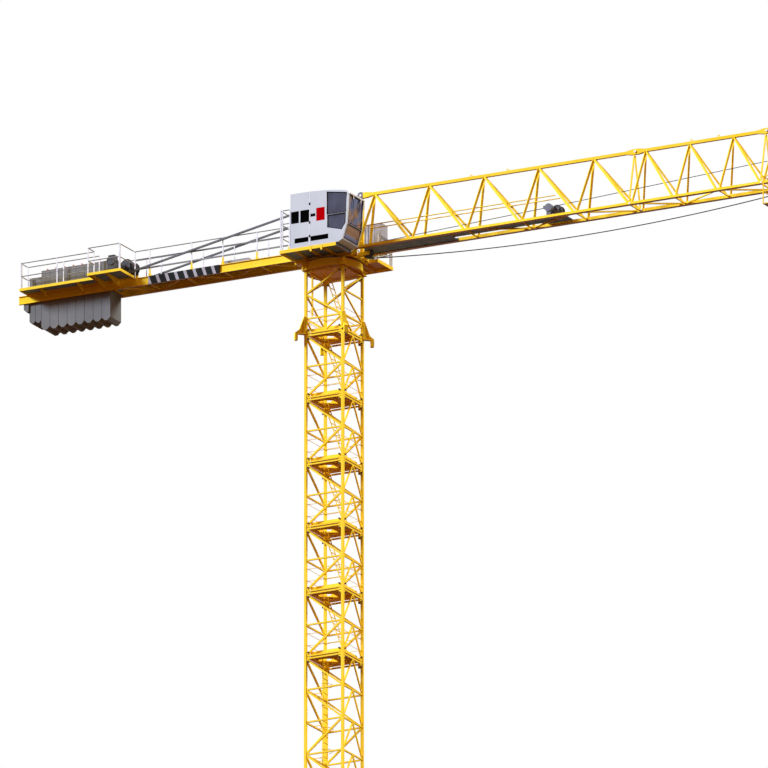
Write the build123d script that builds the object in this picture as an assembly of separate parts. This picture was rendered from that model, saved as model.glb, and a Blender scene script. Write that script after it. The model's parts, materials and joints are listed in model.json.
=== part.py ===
from build123d import *
from math import asin, atan2, ceil, cos, hypot, pi, sin
import os

# Flat-top tower crane at full size, in millimetres. The mast axis is Z, the ground is Z = 0,
# the jib points along +X and the driver's cab hangs on the -Y side.

FIT = 0.3  # running or weld gap between pieces that meet

# Mast
LEG_SPACING = 1672.0
LEG_SIZE = 106.0
SECTION_HEIGHT = 2700.0
SECTION_COUNT = 5  # plain sections between the base and the head section
BASE_BAYS = 8  # half-section bays in the tall base section
JOINT_RAIL = 55.0  # height of the end rails from a section joint
RAIL_SIZE = 62.0
BRACE_SIZE = 72.0
CHEVRON_SIZE = 58.0
GUSSET_WIDTH = 130.0
GUSSET_HEIGHT = 215.0
GUSSET_THICK = 30.0
FOOT_SIZE = 460.0
FOOT_THICK = 45.0
ANCHOR_OFFSET = 150.0  # anchor hole from the leg axis, along X and along Y
ANCHOR_RADIUS = 24.0
BRACKET_REACH = 473.0
BRACKET_HEIGHT = 745.0
BRACKET_THICK = 170.0
BRACKET_WEB = 60.0

# Platforms and ladders inside the mast
PLATFORM_THICK = 28.0
TOE_HEIGHT = 185.0
TOE_THICK = 12.0
TOE_REACH = 690.0
HATCH_LENGTH = 620.0
HATCH_WIDTH = 640.0
LADDER_FOOT = 590.0  # X of a leaning ladder's foot, and of its head below
LADDER_HEAD = -400.0
LADDER_WIDTH = 400.0
STILE_SIZE = 45.0
RUNG_SIZE = 26.0
RUNG_PITCH = 300.0

# Slewing gear, measured upwards from the mast top
DRUM_INSET = 27.2825  # drum wall inside the leg axes, measured across the corner
DRUM_HEIGHT = 305.0
DRUM_WALL = 70.0
MANHOLE_RADIUS = 480.0
RING_HEIGHT = 60.0
RING_OUTER = 1080.0
RING_INNER = 860.0
DECK_TOP = 578.0
DECK_REAR = -1400.0
DECK_FRONT = 1150.0
DECK_HALF = 720.0
PLATFORM_UNDER = 440.0
PLATFORM_EDGE = 2040.0
PLATFORM_BAYS = 4
NEAR_PLATFORM_FRONT = 1150.0
FAR_PLATFORM_FRONT = 1600.0

# Tower head
HEAD_X = 965.0
HEAD_TOP = 3090.0
HEAD_HALF = 572.0
HEAD_POST = 130.0
HEAD_REAR = -900.0
HEAD_REAR_HALF = 380.0

# Jib
CHORD_SIZE = 124.0
LOWER_CHORD = 752.0
UPPER_CHORD = 3062.0
JIB_HALF = 502.0
JIB_START = 1272.0
TOP_CHORD_START = 1332.0
JIB_EYE_RADIUS = 105.0
ROOT_TOP_SHIFT = 575.0  # a top node lies this far out from its bottom node
OUTER_TOP_SHIFT = 449.0
ROOT_BAY = 2470.0
ROOT_BAYS = 5
OUTER_BAY = 1966.0
OUTER_BAYS = 3
ROOT_DIAGONAL = 90.0
OUTER_DIAGONAL = 76.0
SHOE_LENGTH = 430.0  # thickened end of the top chord at a joint
SHOE_HALF = 112.0
LACING_SIZE = 56.0
RAIL_FLANGE = 70.0
RAIL_THICK = 20.0

# Counter-jib
BEAM_END = -14050.0
BEAM_FRONT = -300.0
BEAM_TOP = 920.0
BEAM_Y = 525.0
BEAM_FLANGE = 100.0
FLANGE_THICK = 22.0
WEB_THICK = 16.0
TIE_SIZE = 60.0
TIE_PITCH = 1900.0
GRATING_THICK = 30.0
GRATING_REAR = -8800.0
WALK_TOP = 1020.0
WALK_THICK = 36.0
WALK_REAR = -13660.0
WALK_FRONT = -10280.0
WALK_EDGE = -1240.0
WINCH_DECK_FRONT = -8767.0
WINCH_DECK_EDGE = -1784.0
WALK_BRACKETS = (-12758.0, -11099.0)
DECK_BRACKETS = (-10100.0, -9455.0)
SIGN_REAR = -8127.0
SIGN_FRONT = -4896.0
EDGE_BAND = 112.0
EDGE_THICK = 30.0
WALK_GAP = 48.0  # winch deck from the girder, clear of the stays

# Railings
RAILING_HEIGHT = 1069.0
GIRDER_RAILING = 1150.0
TALL_RAILING = 1677.0  # behind the control cabinet
POST_SIZE = 40.0
RAIL_TUBE = 26.0
POST_PITCH = 1690.0
GIRDER_POSTS = (-8780.0, -8104.0, -6204.0, -4780.0, -3236.0, -1800.0)

# Counterweight
SLAB_FRONT = -9925.0
SLAB_PITCH = 394.0
SLAB_GAP = 14.0
SLAB_COUNT = 8
SLAB_HALF = 466.0
SLAB_BOTTOM = -607.0
SLAB_TOP = 1891.0
SLAB_CHAMFER = 127.0
TRIM_PITCH = 272.0
TRIM_COUNT = 2
TRIM_BOTTOM = -267.0
TRIM_TOP = 1647.0
END_BLOCK = 220.0  # short block under the girders, behind the slabs
END_BLOCK_BOTTOM = 240.0
EAR_SIZE = 120.0

# Winches, pulleys and ropes
HOIST_X = -9336.0
HOIST_Z = 1640.0
HOIST_CORE = 235.0
HOIST_FLANGE = 285.0
HOIST_NEAR = -190.0
HOIST_FAR = 430.0
MOTOR_EDGE = -1360.0  # outer end of the hoist motor
MOTOR_LENGTH = 380.0
MOTOR_RADIUS = 190.0
TRAVEL_X = 10080.0
TRAVEL_Z = 1140.0
TRAVEL_CORE = 190.0
TRAVEL_FLANGE = 225.0
TRAVEL_NEAR = -60.0
TRAVEL_FAR = 240.0
SHAFT_RADIUS = 48.0
ROPE_RADIUS = 13.0
ROPE_LEVEL = 390.0  # hoist rope under the jib, where it is straight
HEAD_PULLEY = (-62.0, 1655.0, 200.0)  # X, height over the mast top, radius
ROOT_PULLEY = (1560.0, ROPE_LEVEL + ROPE_RADIUS + FIT + 200.0, 200.0)
TIP_PULLEY_RADIUS = 160.0
GUIDE_RADIUS = 70.0
PULLEY_WIDTH = 60.0
CHEEK_GAP = 44.0  # cheek plates from the rope plane
ROPE_LOW = -75.0  # lowest point of the hoist rope under the jib
STAY_SIZE = 72.0
STAY_FOOT_X = -9880.0
STAY_FOOT_Z = 1036.0

# Cab
CAB_OUTER = -2024.0
CAB_INNER = -722.0
CAB_WALL = 60.0
CAB_REAR = -24.0
CABINET_REAR = -908.0
CABINET_FRONT = -60.0
CABINET_TOP = 2870.0
GLASS_THICK = 14.0
FAR_CABINET = (709.0, 1500.0, 1200.0, 1745.0, 2240.0)  # X from, to, Y from, to, top
CABINET_STAND = 450.0  # height of the pedestal under the far cabinet

# Trolley
TROLLEY_X = 20800.0
TROLLEY_HALF = 750.0
WHEEL_RADIUS = 75.0
WHEEL_WIDTH = 40.0
SIDE_PLATE = 24.0
SHEAVE_RADIUS = 180.0
SHEAVE_OFFSET = 300.0
BASKET_EDGE = -1480.0
BASKET_FLOOR = -480.0
HOOK_DROP = 640.0

# Derived levels
HALF = LEG_SPACING / 2
DRUM_RADIUS = hypot(HALF, HALF) - DRUM_INSET
LEG_INNER = HALF - LEG_SIZE / 2
BASE_HEIGHT = BASE_BAYS * SECTION_HEIGHT / 2
MAST_TOP = BASE_HEIGHT + (SECTION_COUNT + 1) * SECTION_HEIGHT
JOINTS = [BASE_HEIGHT + k * SECTION_HEIGHT for k in range(SECTION_COUNT + 1)]
ROOT_END = JIB_START + ROOT_BAYS * ROOT_BAY
MIDDLE_END = ROOT_END + OUTER_BAYS * OUTER_BAY
JIB_END = MIDDLE_END + OUTER_BAYS * OUTER_BAY


def block(x0, x1, y0, y1, z0, z1):
    """Box between two corners."""
    return Pos((x0 + x1) / 2, (y0 + y1) / 2, (z0 + z1) / 2) * Box(x1 - x0, y1 - y0, z1 - z0)


def up(x0, x1, y0, y1, z0, z1):
    """Box whose heights are counted from the mast top."""
    return block(x0, x1, y0, y1, MAST_TOP + z0, MAST_TOP + z1)


def section_plane(start, end):
    """Plane square to the line from start to end, its Y axis as upright as the line allows."""
    axis = (Vector(*end) - Vector(*start)).normalized()
    guide = Vector(0, 0, 1) if abs(axis.Z) < 0.99 else Vector(0, 1, 0)
    return Plane(origin=start, x_dir=guide.cross(axis), z_dir=axis)


def bar(start, end, width, height=None):
    """Square or flat bar between two points."""
    length = (Vector(*end) - Vector(*start)).length
    return extrude(section_plane(start, end) * Rectangle(width, height or width), amount=length)


def rod(start, end, radius, sides=8):
    """Round bar between two points, as a prism of few sides."""
    length = (Vector(*end) - Vector(*start)).length
    return extrude(section_plane(start, end) * RegularPolygon(radius, sides), amount=length)


def disc(x, z, y0, y1, radius):
    """Cylinder along Y; z is counted from the mast top."""
    centre = Pos(x, (y0 + y1) / 2, MAST_TOP + z)
    return centre * Rot(90, 0, 0) * Cylinder(radius, y1 - y0)


def weld(pieces):
    """All pieces fused into one."""
    return Part() + pieces


def save(name, *shapes):
    """Write one node: every solid of the shapes given."""
    solids = [solid for shape in shapes for solid in shape.solids()]
    export_step(Compound(solids) if len(solids) > 1 else solids[0], f"parts/{name}.step")


def spaced(first, last, pitch):
    """Even positions from first to last, no further apart than the pitch."""
    count = max(1, ceil(abs(last - first) / pitch))
    return [first + (last - first) * k / count for k in range(count + 1)]


def gussets(z0, z1, place):
    """Joint plates in the four corners of a face; place turns (across, z range) into a box."""
    plates = []
    for low, high in ((z0, z0 + GUSSET_HEIGHT), (z1 - GUSSET_HEIGHT, z1)):
        for side in (-1, 1):
            ends = sorted((side * (LEG_INNER + FIT), side * (LEG_INNER - GUSSET_WIDTH)))
            plates.append(place(*ends, low, high))
    return plates


def leg_frame(side, z0, z1, rails, braces, thin=()):
    """Flat frame of two legs on the -Y or +Y face: braces run between (X side, height) pairs."""
    y = side * HALF
    half_leg = LEG_SIZE / 2
    pieces = [block(x - half_leg, x + half_leg, y - half_leg, y + half_leg, z0, z1) for x in (-HALF, HALF)]
    pieces += [bar((-HALF, y, z), (HALF, y, z), RAIL_SIZE) for z in rails]
    pieces += [bar((a * HALF, y, za), (b * HALF, y, zb), BRACE_SIZE) for (a, za), (b, zb) in braces]
    pieces += [bar((a * HALF, y, za), (b * HALF, y, zb), CHEVRON_SIZE) for (a, za), (b, zb) in thin]
    thick = GUSSET_THICK / 2
    pieces += gussets(z0, z1, lambda a, b, low, high: block(a, b, y - thick, y + thick, low, high))
    return weld(pieces) & block(-LEG_SPACING, LEG_SPACING, y - HALF / 2, y + HALF / 2, z0, z1)


def side_panel(side, z0, z1, rails, braces, size=CHEVRON_SIZE):
    """Flat bracing of the -X or +X face, between the legs."""
    x = side * HALF
    pieces = [bar((x, -HALF, z), (x, HALF, z), RAIL_SIZE) for z in rails]
    pieces += [bar((x, a * HALF, za), (x, b * HALF, zb), size) for (a, za), (b, zb) in braces]
    thick = GUSSET_THICK / 2
    pieces += gussets(z0, z1, lambda a, b, low, high: block(x - thick, x + thick, a, b, low, high))
    reach = LEG_INNER - FIT
    return weld(pieces) & block(x - HALF / 2, x + HALF / 2, -reach, reach, z0, z1)


def chevrons(levels):
    """Pairs of braces falling from the middle of each rail to the legs at the next one down."""
    pairs = []
    for low, high in zip(levels, levels[1:]):
        pairs += [((0, high), (-1, low)), ((0, high), (1, low))]
    return pairs


def plain_section(z0):
    """Mast section with two half bays."""
    z1 = z0 + SECTION_HEIGHT
    rails = [z0 + JOINT_RAIL, z0 + SECTION_HEIGHT / 2, z1 - JOINT_RAIL]
    zigzag = [((-1, rails[2]), (1, rails[1])), ((1, rails[1]), (-1, rails[0]))]
    frames = [leg_frame(side, z0, z1, rails, zigzag) for side in (-1, 1)]
    rear = side_panel(-1, z0, z1, rails, zigzag, BRACE_SIZE)
    panels = [rear, side_panel(1, z0, z1, rails, chevrons(rails))]
    return frames + panels


def base_section():
    """Tall bottom section standing on the feet."""
    bay = SECTION_HEIGHT / 2
    inner = [k * bay for k in range(1, BASE_BAYS)]
    rails = [FOOT_THICK + 3 * JOINT_RAIL] + inner + [BASE_HEIGHT - JOINT_RAIL]
    falling = [((-1, high), (1, low)) for low, high in zip(rails, rails[1:])]
    falling[-3] = ((1, rails[-3]), (-1, rails[-4]))
    frames = [leg_frame(side, FOOT_THICK, BASE_HEIGHT, rails, falling) for side in (-1, 1)]
    ends = (FOOT_THICK, BASE_HEIGHT)
    panels = [side_panel(-1, *ends, rails, falling, BRACE_SIZE), side_panel(1, *ends, rails, chevrons(rails))]
    return frames + panels


def head_section():
    """Top mast section, with a stiff belt over the climbing brackets."""
    z0 = JOINTS[-1]
    z1 = MAST_TOP
    belt = z0 + 0.245 * SECTION_HEIGHT
    middle = z0 + 0.625 * SECTION_HEIGHT
    rails = [z0 + JOINT_RAIL, belt, z1 - JOINT_RAIL]
    zigzag = [((1, rails[2]), (-1, middle)), ((-1, middle), (1, belt))]
    vee = [((-1, belt), (0, rails[0])), ((1, belt), (0, rails[0]))]
    frames = [leg_frame(side, z0, z1, rails, zigzag, vee) for side in (-1, 1)]
    across = [((1, rails[2]), (-1, middle)), ((-1, middle), (1, belt))]
    return frames + [side_panel(side, z0, z1, rails + [middle], across + vee) for side in (-1, 1)]


def foot(x, y):
    """Base plate under one leg, with its anchor hole on the outer corner."""
    half = FOOT_SIZE / 2
    plate = block(x - half, x + half, y - half, y + half, 0, FOOT_THICK)
    hole_x = x + ANCHOR_OFFSET * (1 if x > 0 else -1)
    hole_y = y + ANCHOR_OFFSET * (1 if y > 0 else -1)
    return plate - Pos(hole_x, hole_y, 0) * Cylinder(ANCHOR_RADIUS, 4 * FOOT_THICK)


def climbing_bracket(x, y):
    """Console on a mast leg: web between flanges, with a hanging hook at its tip."""
    z = JOINTS[-1]
    reach = BRACKET_REACH
    hook = 0.24 * reach
    knee = (0.61 * reach, z + 0.25 * BRACKET_HEIGHT)
    profile = Polyline(
        (0, z + BRACKET_HEIGHT), (0.85 * LEG_SIZE, z + BRACKET_HEIGHT), knee, (reach, z + 40),
        (reach, z - 265), (reach - hook, z - 265), (reach - hook, z), (0, z), close=True,
    )
    pocket = Polyline(
        (LEG_SIZE, z + 40), (0.68 * reach, z + 40), (knee[0] - 45, knee[1]),
        (LEG_SIZE, z + 0.83 * BRACKET_HEIGHT), close=True,
    )
    wedge = extrude(Plane.XZ * make_face(profile), amount=BRACKET_THICK / 2, both=True)
    window = extrude(Plane.XZ * make_face(pocket), amount=BRACKET_THICK, both=True)
    wedge -= window - Box(8 * reach, BRACKET_WEB, 4 * z)
    placed = Pos(x, y, 0) * Rot(0, 0, atan2(y, x) * 180 / pi) * wedge
    half_leg = LEG_SIZE / 2
    far = 2 * BRACKET_HEIGHT
    return placed - block(x - half_leg, x + half_leg, y - half_leg, y + half_leg, z - far, z + far)


def mast_platform(joint):
    """Rest platform at a section joint: plate with a hatch, held by the end rails."""
    reach = HALF - RAIL_SIZE / 2 - FIT
    z0 = joint + JOINT_RAIL - PLATFORM_THICK / 2
    z1 = z0 + PLATFORM_THICK
    clear = LEG_INNER - GUSSET_WIDTH - 8
    plate = block(-reach, reach, -clear, clear, z0, z1) + block(-clear, clear, -reach, reach, z0, z1)
    hatch_x = LADDER_HEAD + HATCH_LENGTH * 0.15
    half_hatch = HATCH_WIDTH / 2
    return plate - block(
        hatch_x - HATCH_LENGTH / 2, hatch_x + HATCH_LENGTH / 2, -half_hatch, half_hatch, z0 - 1, z1 + 1
    )


def toe_boards(joint):
    """Upright boards round a rest platform."""
    z0 = joint + JOINT_RAIL + PLATFORM_THICK / 2 + FIT
    inner = TOE_REACH - TOE_THICK
    ring = block(-TOE_REACH, TOE_REACH, -TOE_REACH, TOE_REACH, z0, z0 + TOE_HEIGHT)
    return ring - block(-inner, inner, -inner, inner, z0 - 1, z0 + TOE_HEIGHT + 1)


def ladder(foot_point, head_point):
    """Two stiles with rungs between them, leaning along X."""
    (x0, z0), (x1, z1) = foot_point, head_point
    half = LADDER_WIDTH / 2
    pieces = [bar((x0, y, z0), (x1, y, z1), STILE_SIZE, STILE_SIZE * 0.6) for y in (-half, half)]
    for k in range(1, int((z1 - z0) / RUNG_PITCH) + 1):
        share = k * RUNG_PITCH / (z1 - z0 + RUNG_PITCH / 2)
        x = x0 + (x1 - x0) * share
        z = z0 + (z1 - z0) * share
        pieces.append(bar((x, -half, z), (x, half, z), RUNG_SIZE))
    return weld(pieces) & block(-HALF, HALF, -HALF, HALF, z0, z1)


def base_ladder():
    """Upright ladder of the base section, tied back to the rails of the -X face."""
    x = LADDER_HEAD
    steps = ladder((x, 0), (x, BASE_HEIGHT + JOINT_RAIL))
    wall = -HALF + RAIL_SIZE / 2 + FIT
    for k in range(1, BASE_BAYS):
        z = k * SECTION_HEIGHT / 2
        for y in (-LADDER_WIDTH / 2, LADDER_WIDTH / 2):
            steps += bar((x, y, z), (wall, y, z), RUNG_SIZE)
    return steps


def slewing_drum():
    """Round support on the mast head: wall, bottom plate with a manhole, top rim and corner pads."""
    z0 = MAST_TOP
    middle = Pos(0, 0, z0 + DRUM_HEIGHT / 2)
    drum = middle * Cylinder(DRUM_RADIUS, DRUM_HEIGHT)
    pad = LEG_SIZE * 0.85
    for x in (-HALF, HALF):
        for y in (-HALF, HALF):
            drum += block(x - pad, x + pad, y - pad, y + pad, z0, z0 + DRUM_HEIGHT)
    drum -= Pos(0, 0, z0 + DRUM_HEIGHT / 2) * Cylinder(DRUM_RADIUS - DRUM_WALL, DRUM_HEIGHT - 80)
    drum -= middle * Cylinder(MANHOLE_RADIUS, DRUM_HEIGHT + 2)
    rim = Pos(0, 0, z0 + DRUM_HEIGHT - 20) * Cylinder(RING_INNER - 40, 60)
    return drum - rim


def deck():
    """Slewing deck: box frame with a manhole and two arms that carry the jib's lower chords."""
    under = DRUM_HEIGHT + FIT + RING_HEIGHT
    frame = up(DECK_REAR, DECK_FRONT, -DECK_HALF, DECK_HALF, under, DECK_TOP)
    for side in (-1, 1):
        y = side * JIB_HALF
        half = CHORD_SIZE * 0.75
        arm_top = LOWER_CHORD + CHORD_SIZE / 2
        frame += up(DECK_FRONT - 140, JIB_START - FIT, y - half, y + half, PLATFORM_UNDER, DECK_TOP)
        frame += up(JIB_START - 150, JIB_START - FIT, y - half, y + half, PLATFORM_UNDER, arm_top)
    x, z, _ = ROOT_PULLEY
    for side in (-1, 1):
        y = sorted((side * CHEEK_GAP, side * (CHEEK_GAP + 20)))
        frame += up(DECK_FRONT - 50, x + 70, *y, z - 80, z + 80)
        frame += up(DECK_FRONT - 50, DECK_FRONT + 20, *y, PLATFORM_UNDER, z + 80)
    return frame - Pos(0, 0, MAST_TOP + DECK_TOP / 2) * Cylinder(MANHOLE_RADIUS, DECK_TOP)


def tower_head():
    """Two posts with raking struts and a cross-head that takes the stays and the jib's top chord."""
    base = MAST_TOP + DECK_TOP
    top = MAST_TOP + HEAD_TOP - HEAD_POST / 2
    pieces = []
    for side in (-1, 1):
        post = (HEAD_X, side * HEAD_HALF, base)
        pieces.append(bar(post, (HEAD_X, side * HEAD_HALF, top), HEAD_POST))
        strut = (HEAD_REAR, side * HEAD_REAR_HALF, base - 40)
        pieces.append(bar(strut, (HEAD_X, side * HEAD_REAR_HALF, top), HEAD_POST * 0.8))
    wide = HEAD_HALF + HEAD_POST / 2
    pieces.append(bar((HEAD_X, -wide, top), (HEAD_X, wide, top), HEAD_POST))
    for share in (0.3, 0.65):
        z = base + share * (top - base)
        x = HEAD_REAR + share * (HEAD_X - HEAD_REAR)
        pieces.append(bar((HEAD_X, -HEAD_HALF, z), (HEAD_X, HEAD_HALF, z), HEAD_POST * 0.6))
        pieces.append(bar((x, -HEAD_REAR_HALF, z), (x, HEAD_REAR_HALF, z), HEAD_POST * 0.6))
    head = weld(pieces)
    return head & up(-3000, 3000, -1000, 1000, DECK_TOP, HEAD_TOP + 200)


def jib_eye():
    """Forged eye between the cross-head and the root of the jib's top chord."""
    rear = HEAD_X + HEAD_POST / 2 + FIT
    half = HEAD_POST / 3
    stem = up(rear, TOP_CHORD_START - FIT, -half, half, UPPER_CHORD - half, UPPER_CHORD + half)
    return stem + disc((rear + TOP_CHORD_START) / 2, UPPER_CHORD, -half, half, JIB_EYE_RADIUS)


def chord_shoe(joint, inward):
    """Thickened end of the top chord at a pinned joint, tapering inward."""
    half = CHORD_SIZE / 2
    knee = joint + inward * SHOE_LENGTH * 0.35
    tail = joint + inward * SHOE_LENGTH
    lower = [(joint, -SHOE_HALF), (knee, -SHOE_HALF), (tail, -half)]
    outline = Polyline(*lower, *[(x, -z) for x, z in reversed(lower)], close=True)
    return Pos(0, 0, MAST_TOP + UPPER_CHORD) * extrude(Plane.XZ * make_face(outline), amount=half, both=True)


def jib_section(start, bay, count, diagonal, top_shift, top_start, top_end):
    """Triangular lattice section: near side with the top chord, far side, and the bottom lacing."""
    lower = [start + k * bay for k in range(count + 1)]
    upper = [x + top_shift for x in lower[:-1]]
    end = lower[-1]
    z_low = MAST_TOP + LOWER_CHORD
    z_top = MAST_TOP + UPPER_CHORD
    half = CHORD_SIZE / 2
    sides = []
    for side in (-1, 1):
        y = side * JIB_HALF
        pieces = [bar((start + FIT, y, z_low), (end, y, z_low), CHORD_SIZE)]
        flange = sorted((y, y + side * (half + RAIL_FLANGE)))
        pieces.append(block(start + FIT, end, *flange, z_low - half, z_low - half + RAIL_THICK))
        for low, high, nxt in zip(lower, upper, lower[1:]):
            pieces.append(bar((low + half, y, z_low), (high, 0, z_top), diagonal))
            pieces.append(bar((high, 0, z_top), (nxt - half, y, z_low), diagonal))
        pieces.append(bar((end - half, y, z_low), (top_end - half, 0, z_top), LACING_SIZE))
        panel = weld(pieces) & block(start + FIT, end, -2 * JIB_HALF, 2 * JIB_HALF, z_low - 500, z_top + 500)
        chord = bar((top_start, 0, z_top), (top_end, 0, z_top), CHORD_SIZE)
        chord += chord_shoe(top_start, 1) + chord_shoe(top_end, -1)
        if side < 0:
            sides.append(panel + chord & side_of_middle(side))
        else:
            sides.append(panel & side_of_middle(side))
    return sides + [lacing(lower)]


def side_of_middle(side):
    """Half-space box that keeps the top chord with the near side of the jib."""
    edge = CHORD_SIZE / 2
    reach = 4 * JIB_HALF
    ends = (-reach, edge) if side < 0 else (edge + FIT, reach)
    return block(-50000, 50000, *ends, 0, 2 * MAST_TOP)


def lacing(nodes):
    """Cross bars and zigzag between the lower chords."""
    z = MAST_TOP + LOWER_CHORD
    reach = JIB_HALF - CHORD_SIZE / 2 - FIT
    inset = CHORD_SIZE / 2
    pieces = []
    marks = [nodes[0] + inset] + nodes[1:-1] + [nodes[-1] - inset]
    for x in marks[1:]:
        pieces.append(bar((x, -reach, z), (x, reach, z), LACING_SIZE))
    for k, (x0, x1) in enumerate(zip(marks, marks[1:])):
        side = -1 if k % 2 == 0 else 1
        pieces.append(bar((x0, side * JIB_HALF, z), (x1, -side * JIB_HALF, z), LACING_SIZE))
    bounds = block(nodes[0] + FIT, nodes[-1], -reach, reach, z - 500, z + 500)
    return weld(pieces) & bounds


def i_beam(y):
    """Counter-jib girder: flanges above and below a web."""
    half = BEAM_FLANGE / 2
    web = WEB_THICK / 2
    girder = up(BEAM_END, BEAM_FRONT, y - half, y + half, DECK_TOP, DECK_TOP + FLANGE_THICK)
    girder += up(BEAM_END, BEAM_FRONT, y - half, y + half, BEAM_TOP - FLANGE_THICK, BEAM_TOP)
    return girder + up(BEAM_END, BEAM_FRONT, y - web, y + web, DECK_TOP, BEAM_TOP)


def counter_bracing():
    """Cross ties and diagonals between the girder webs."""
    z = MAST_TOP + DECK_TOP + FLANGE_THICK + TIE_SIZE
    reach = BEAM_Y - WEB_THICK / 2
    marks = spaced(SLAB_FRONT + 100, DECK_REAR - TIE_SIZE, TIE_PITCH)
    pieces = [bar((x, -reach, z), (x, reach, z), TIE_SIZE) for x in marks]
    for k, (x0, x1) in enumerate(zip(marks, marks[1:])):
        side = -1 if k % 2 == 0 else 1
        pieces.append(bar((x0, side * BEAM_Y, z), (x1, -side * BEAM_Y, z), TIE_SIZE * 0.8))
    bounds = block(2 * BEAM_END, 0, -reach, reach, z - 300, z + 300)
    return weld(pieces) & bounds


def walk_deck(x0, x1, edge, inner, brackets):
    """Outrigged walkway: plate, outer band, inner kick strip and gusset brackets back to the girder."""
    girder = -BEAM_Y - BEAM_FLANGE / 2
    under = WALK_TOP - WALK_THICK
    low = WALK_TOP - EDGE_BAND
    walk = up(x0, x1, edge, inner, under, WALK_TOP)
    walk += up(x0, x1, edge, edge + EDGE_THICK, low, WALK_TOP)
    strip = min(inner, girder - FIT)
    walk += up(x0, x1, strip - 8, strip, BEAM_TOP - 30, WALK_TOP)
    for x in brackets:
        rib = Polyline(
            (girder, DECK_TOP + 60), (girder, BEAM_TOP - 10), (strip - 4, BEAM_TOP - 10), (strip - 4, under),
            (edge, under), (edge, low), close=True,
        )
        walk += Pos(x, 0, MAST_TOP) * extrude(Plane.YZ * make_face(rib), amount=14, both=True)
    for x in (x0 + 20, x1 - 20):
        walk += up(x - 20, x + 20, edge, strip, low, under)
    return walk


def platform(front, y0, y1):
    """Walkway platform of the slewing deck: top plate over an open grid of ribs."""
    rib = 50
    body = up(DECK_REAR, front, y0, y1, PLATFORM_UNDER, DECK_TOP)
    count = PLATFORM_BAYS
    pitch = (front - DECK_REAR - rib) / count
    for k in range(count):
        x = DECK_REAR + rib + k * pitch
        body -= up(x, x + pitch - rib, y0 + rib, y1 - rib, PLATFORM_UNDER - 1, DECK_TOP - GRATING_THICK)
    return body


def railing(start, end, base, height=RAILING_HEIGHT, posts=None, rails=(0.48, 1.0)):
    """Flat railing along X or Y: posts and rails. Heights from the mast top."""
    (x0, y0), (x1, y1) = start, end
    z0 = MAST_TOP + base
    z1 = z0 + height - RAIL_TUBE / 2
    run = hypot(x1 - x0, y1 - y0)
    pieces = []
    for along in posts or spaced(0, 1, POST_PITCH / run):
        x = x0 + (x1 - x0) * along
        y = y0 + (y1 - y0) * along
        pieces.append(bar((x, y, z0), (x, y, z1), POST_SIZE))
    for share in rails:
        z = z0 + (z1 - z0) * share
        pieces.append(bar((x0, y0, z), (x1, y1, z), RAIL_TUBE))
    return weld(pieces)


def slab(x0, x1, bottom, top):
    """Hanging concrete slab, its lower long edges chamfered."""
    cut = min(SLAB_CHAMFER, (x1 - x0) * 0.34)
    outline = Polyline(
        (x0, top), (x1, top), (x1, bottom + cut), (x1 - cut, bottom), (x0 + cut, bottom),
        (x0, bottom + cut), close=True,
    )
    return Pos(0, 0, MAST_TOP) * extrude(Plane.XZ * make_face(outline), amount=SLAB_HALF, both=True)


def slab_edges():
    """X ranges of the large slabs and of the two thinner ones behind them."""
    large = [SLAB_FRONT - k * SLAB_PITCH for k in range(SLAB_COUNT + 1)]
    trim = [large[-1] - k * TRIM_PITCH for k in range(TRIM_COUNT + 1)]
    return list(zip(large[1:], large)), list(zip(trim[1:], trim))


def end_block(x):
    """Short block under the girders, ending at x, with its outer lower edge cut off."""
    x0 = x - END_BLOCK
    top = DECK_TOP - FIT
    outline = Polyline(
        (x0, top), (x, top), (x, END_BLOCK_BOTTOM), (x0 + END_BLOCK / 2, END_BLOCK_BOTTOM),
        (x0, END_BLOCK_BOTTOM + END_BLOCK / 2), close=True,
    )
    return Pos(0, 0, MAST_TOP) * extrude(Plane.XZ * make_face(outline), amount=BEAM_Y, both=True)


def slab_ears():
    """Steel ears that rest on the girders and carry the slabs."""
    large, trim = slab_edges()
    ears = []
    for x0, x1 in large + trim:
        x = (x0 + x1) / 2
        for side in (-1, 1):
            y = sorted((side * SLAB_HALF, side * (BEAM_Y + BEAM_FLANGE * 0.3)))
            ears.append(up(x - EAR_SIZE / 2, x + EAR_SIZE / 2, *y, BEAM_TOP, BEAM_TOP + EAR_SIZE))
    return ears


def winch_drum(x, z, near, far, core, flange):
    """Rope drum along Y: core, end flanges and shaft stubs."""
    drum = disc(x, z, near, far, core)
    drum += disc(x, z, near, near + 30, flange)
    drum += disc(x, z, far - 30, far, flange)
    return drum + disc(x, z, near - 55, far + 55, SHAFT_RADIUS)


def bearing_stand(x, z, y0, y1, base, half):
    """Plate with a bearing hole for a drum shaft, standing on base."""
    plate = up(x - half, x + half, y0, y1, base, z + SHAFT_RADIUS * 1.8)
    return plate - disc(x, z, y0 - 1, y1 + 1, SHAFT_RADIUS + FIT)


def hoist_winch_frame():
    """Base frame across the girders with a bearing stand at each end of the drum."""
    base = BEAM_TOP + 60
    reach = BEAM_Y - BEAM_FLANGE * 0.3
    frame = up(HOIST_X - 360, HOIST_X + 360, -reach, reach, BEAM_TOP, base)
    frame += bearing_stand(HOIST_X, HOIST_Z, HOIST_FAR + 10, HOIST_FAR + 60, base, 190)
    return frame + bearing_stand(HOIST_X, HOIST_Z, HOIST_NEAR - 60, HOIST_NEAR - 10, base, 190)


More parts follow.
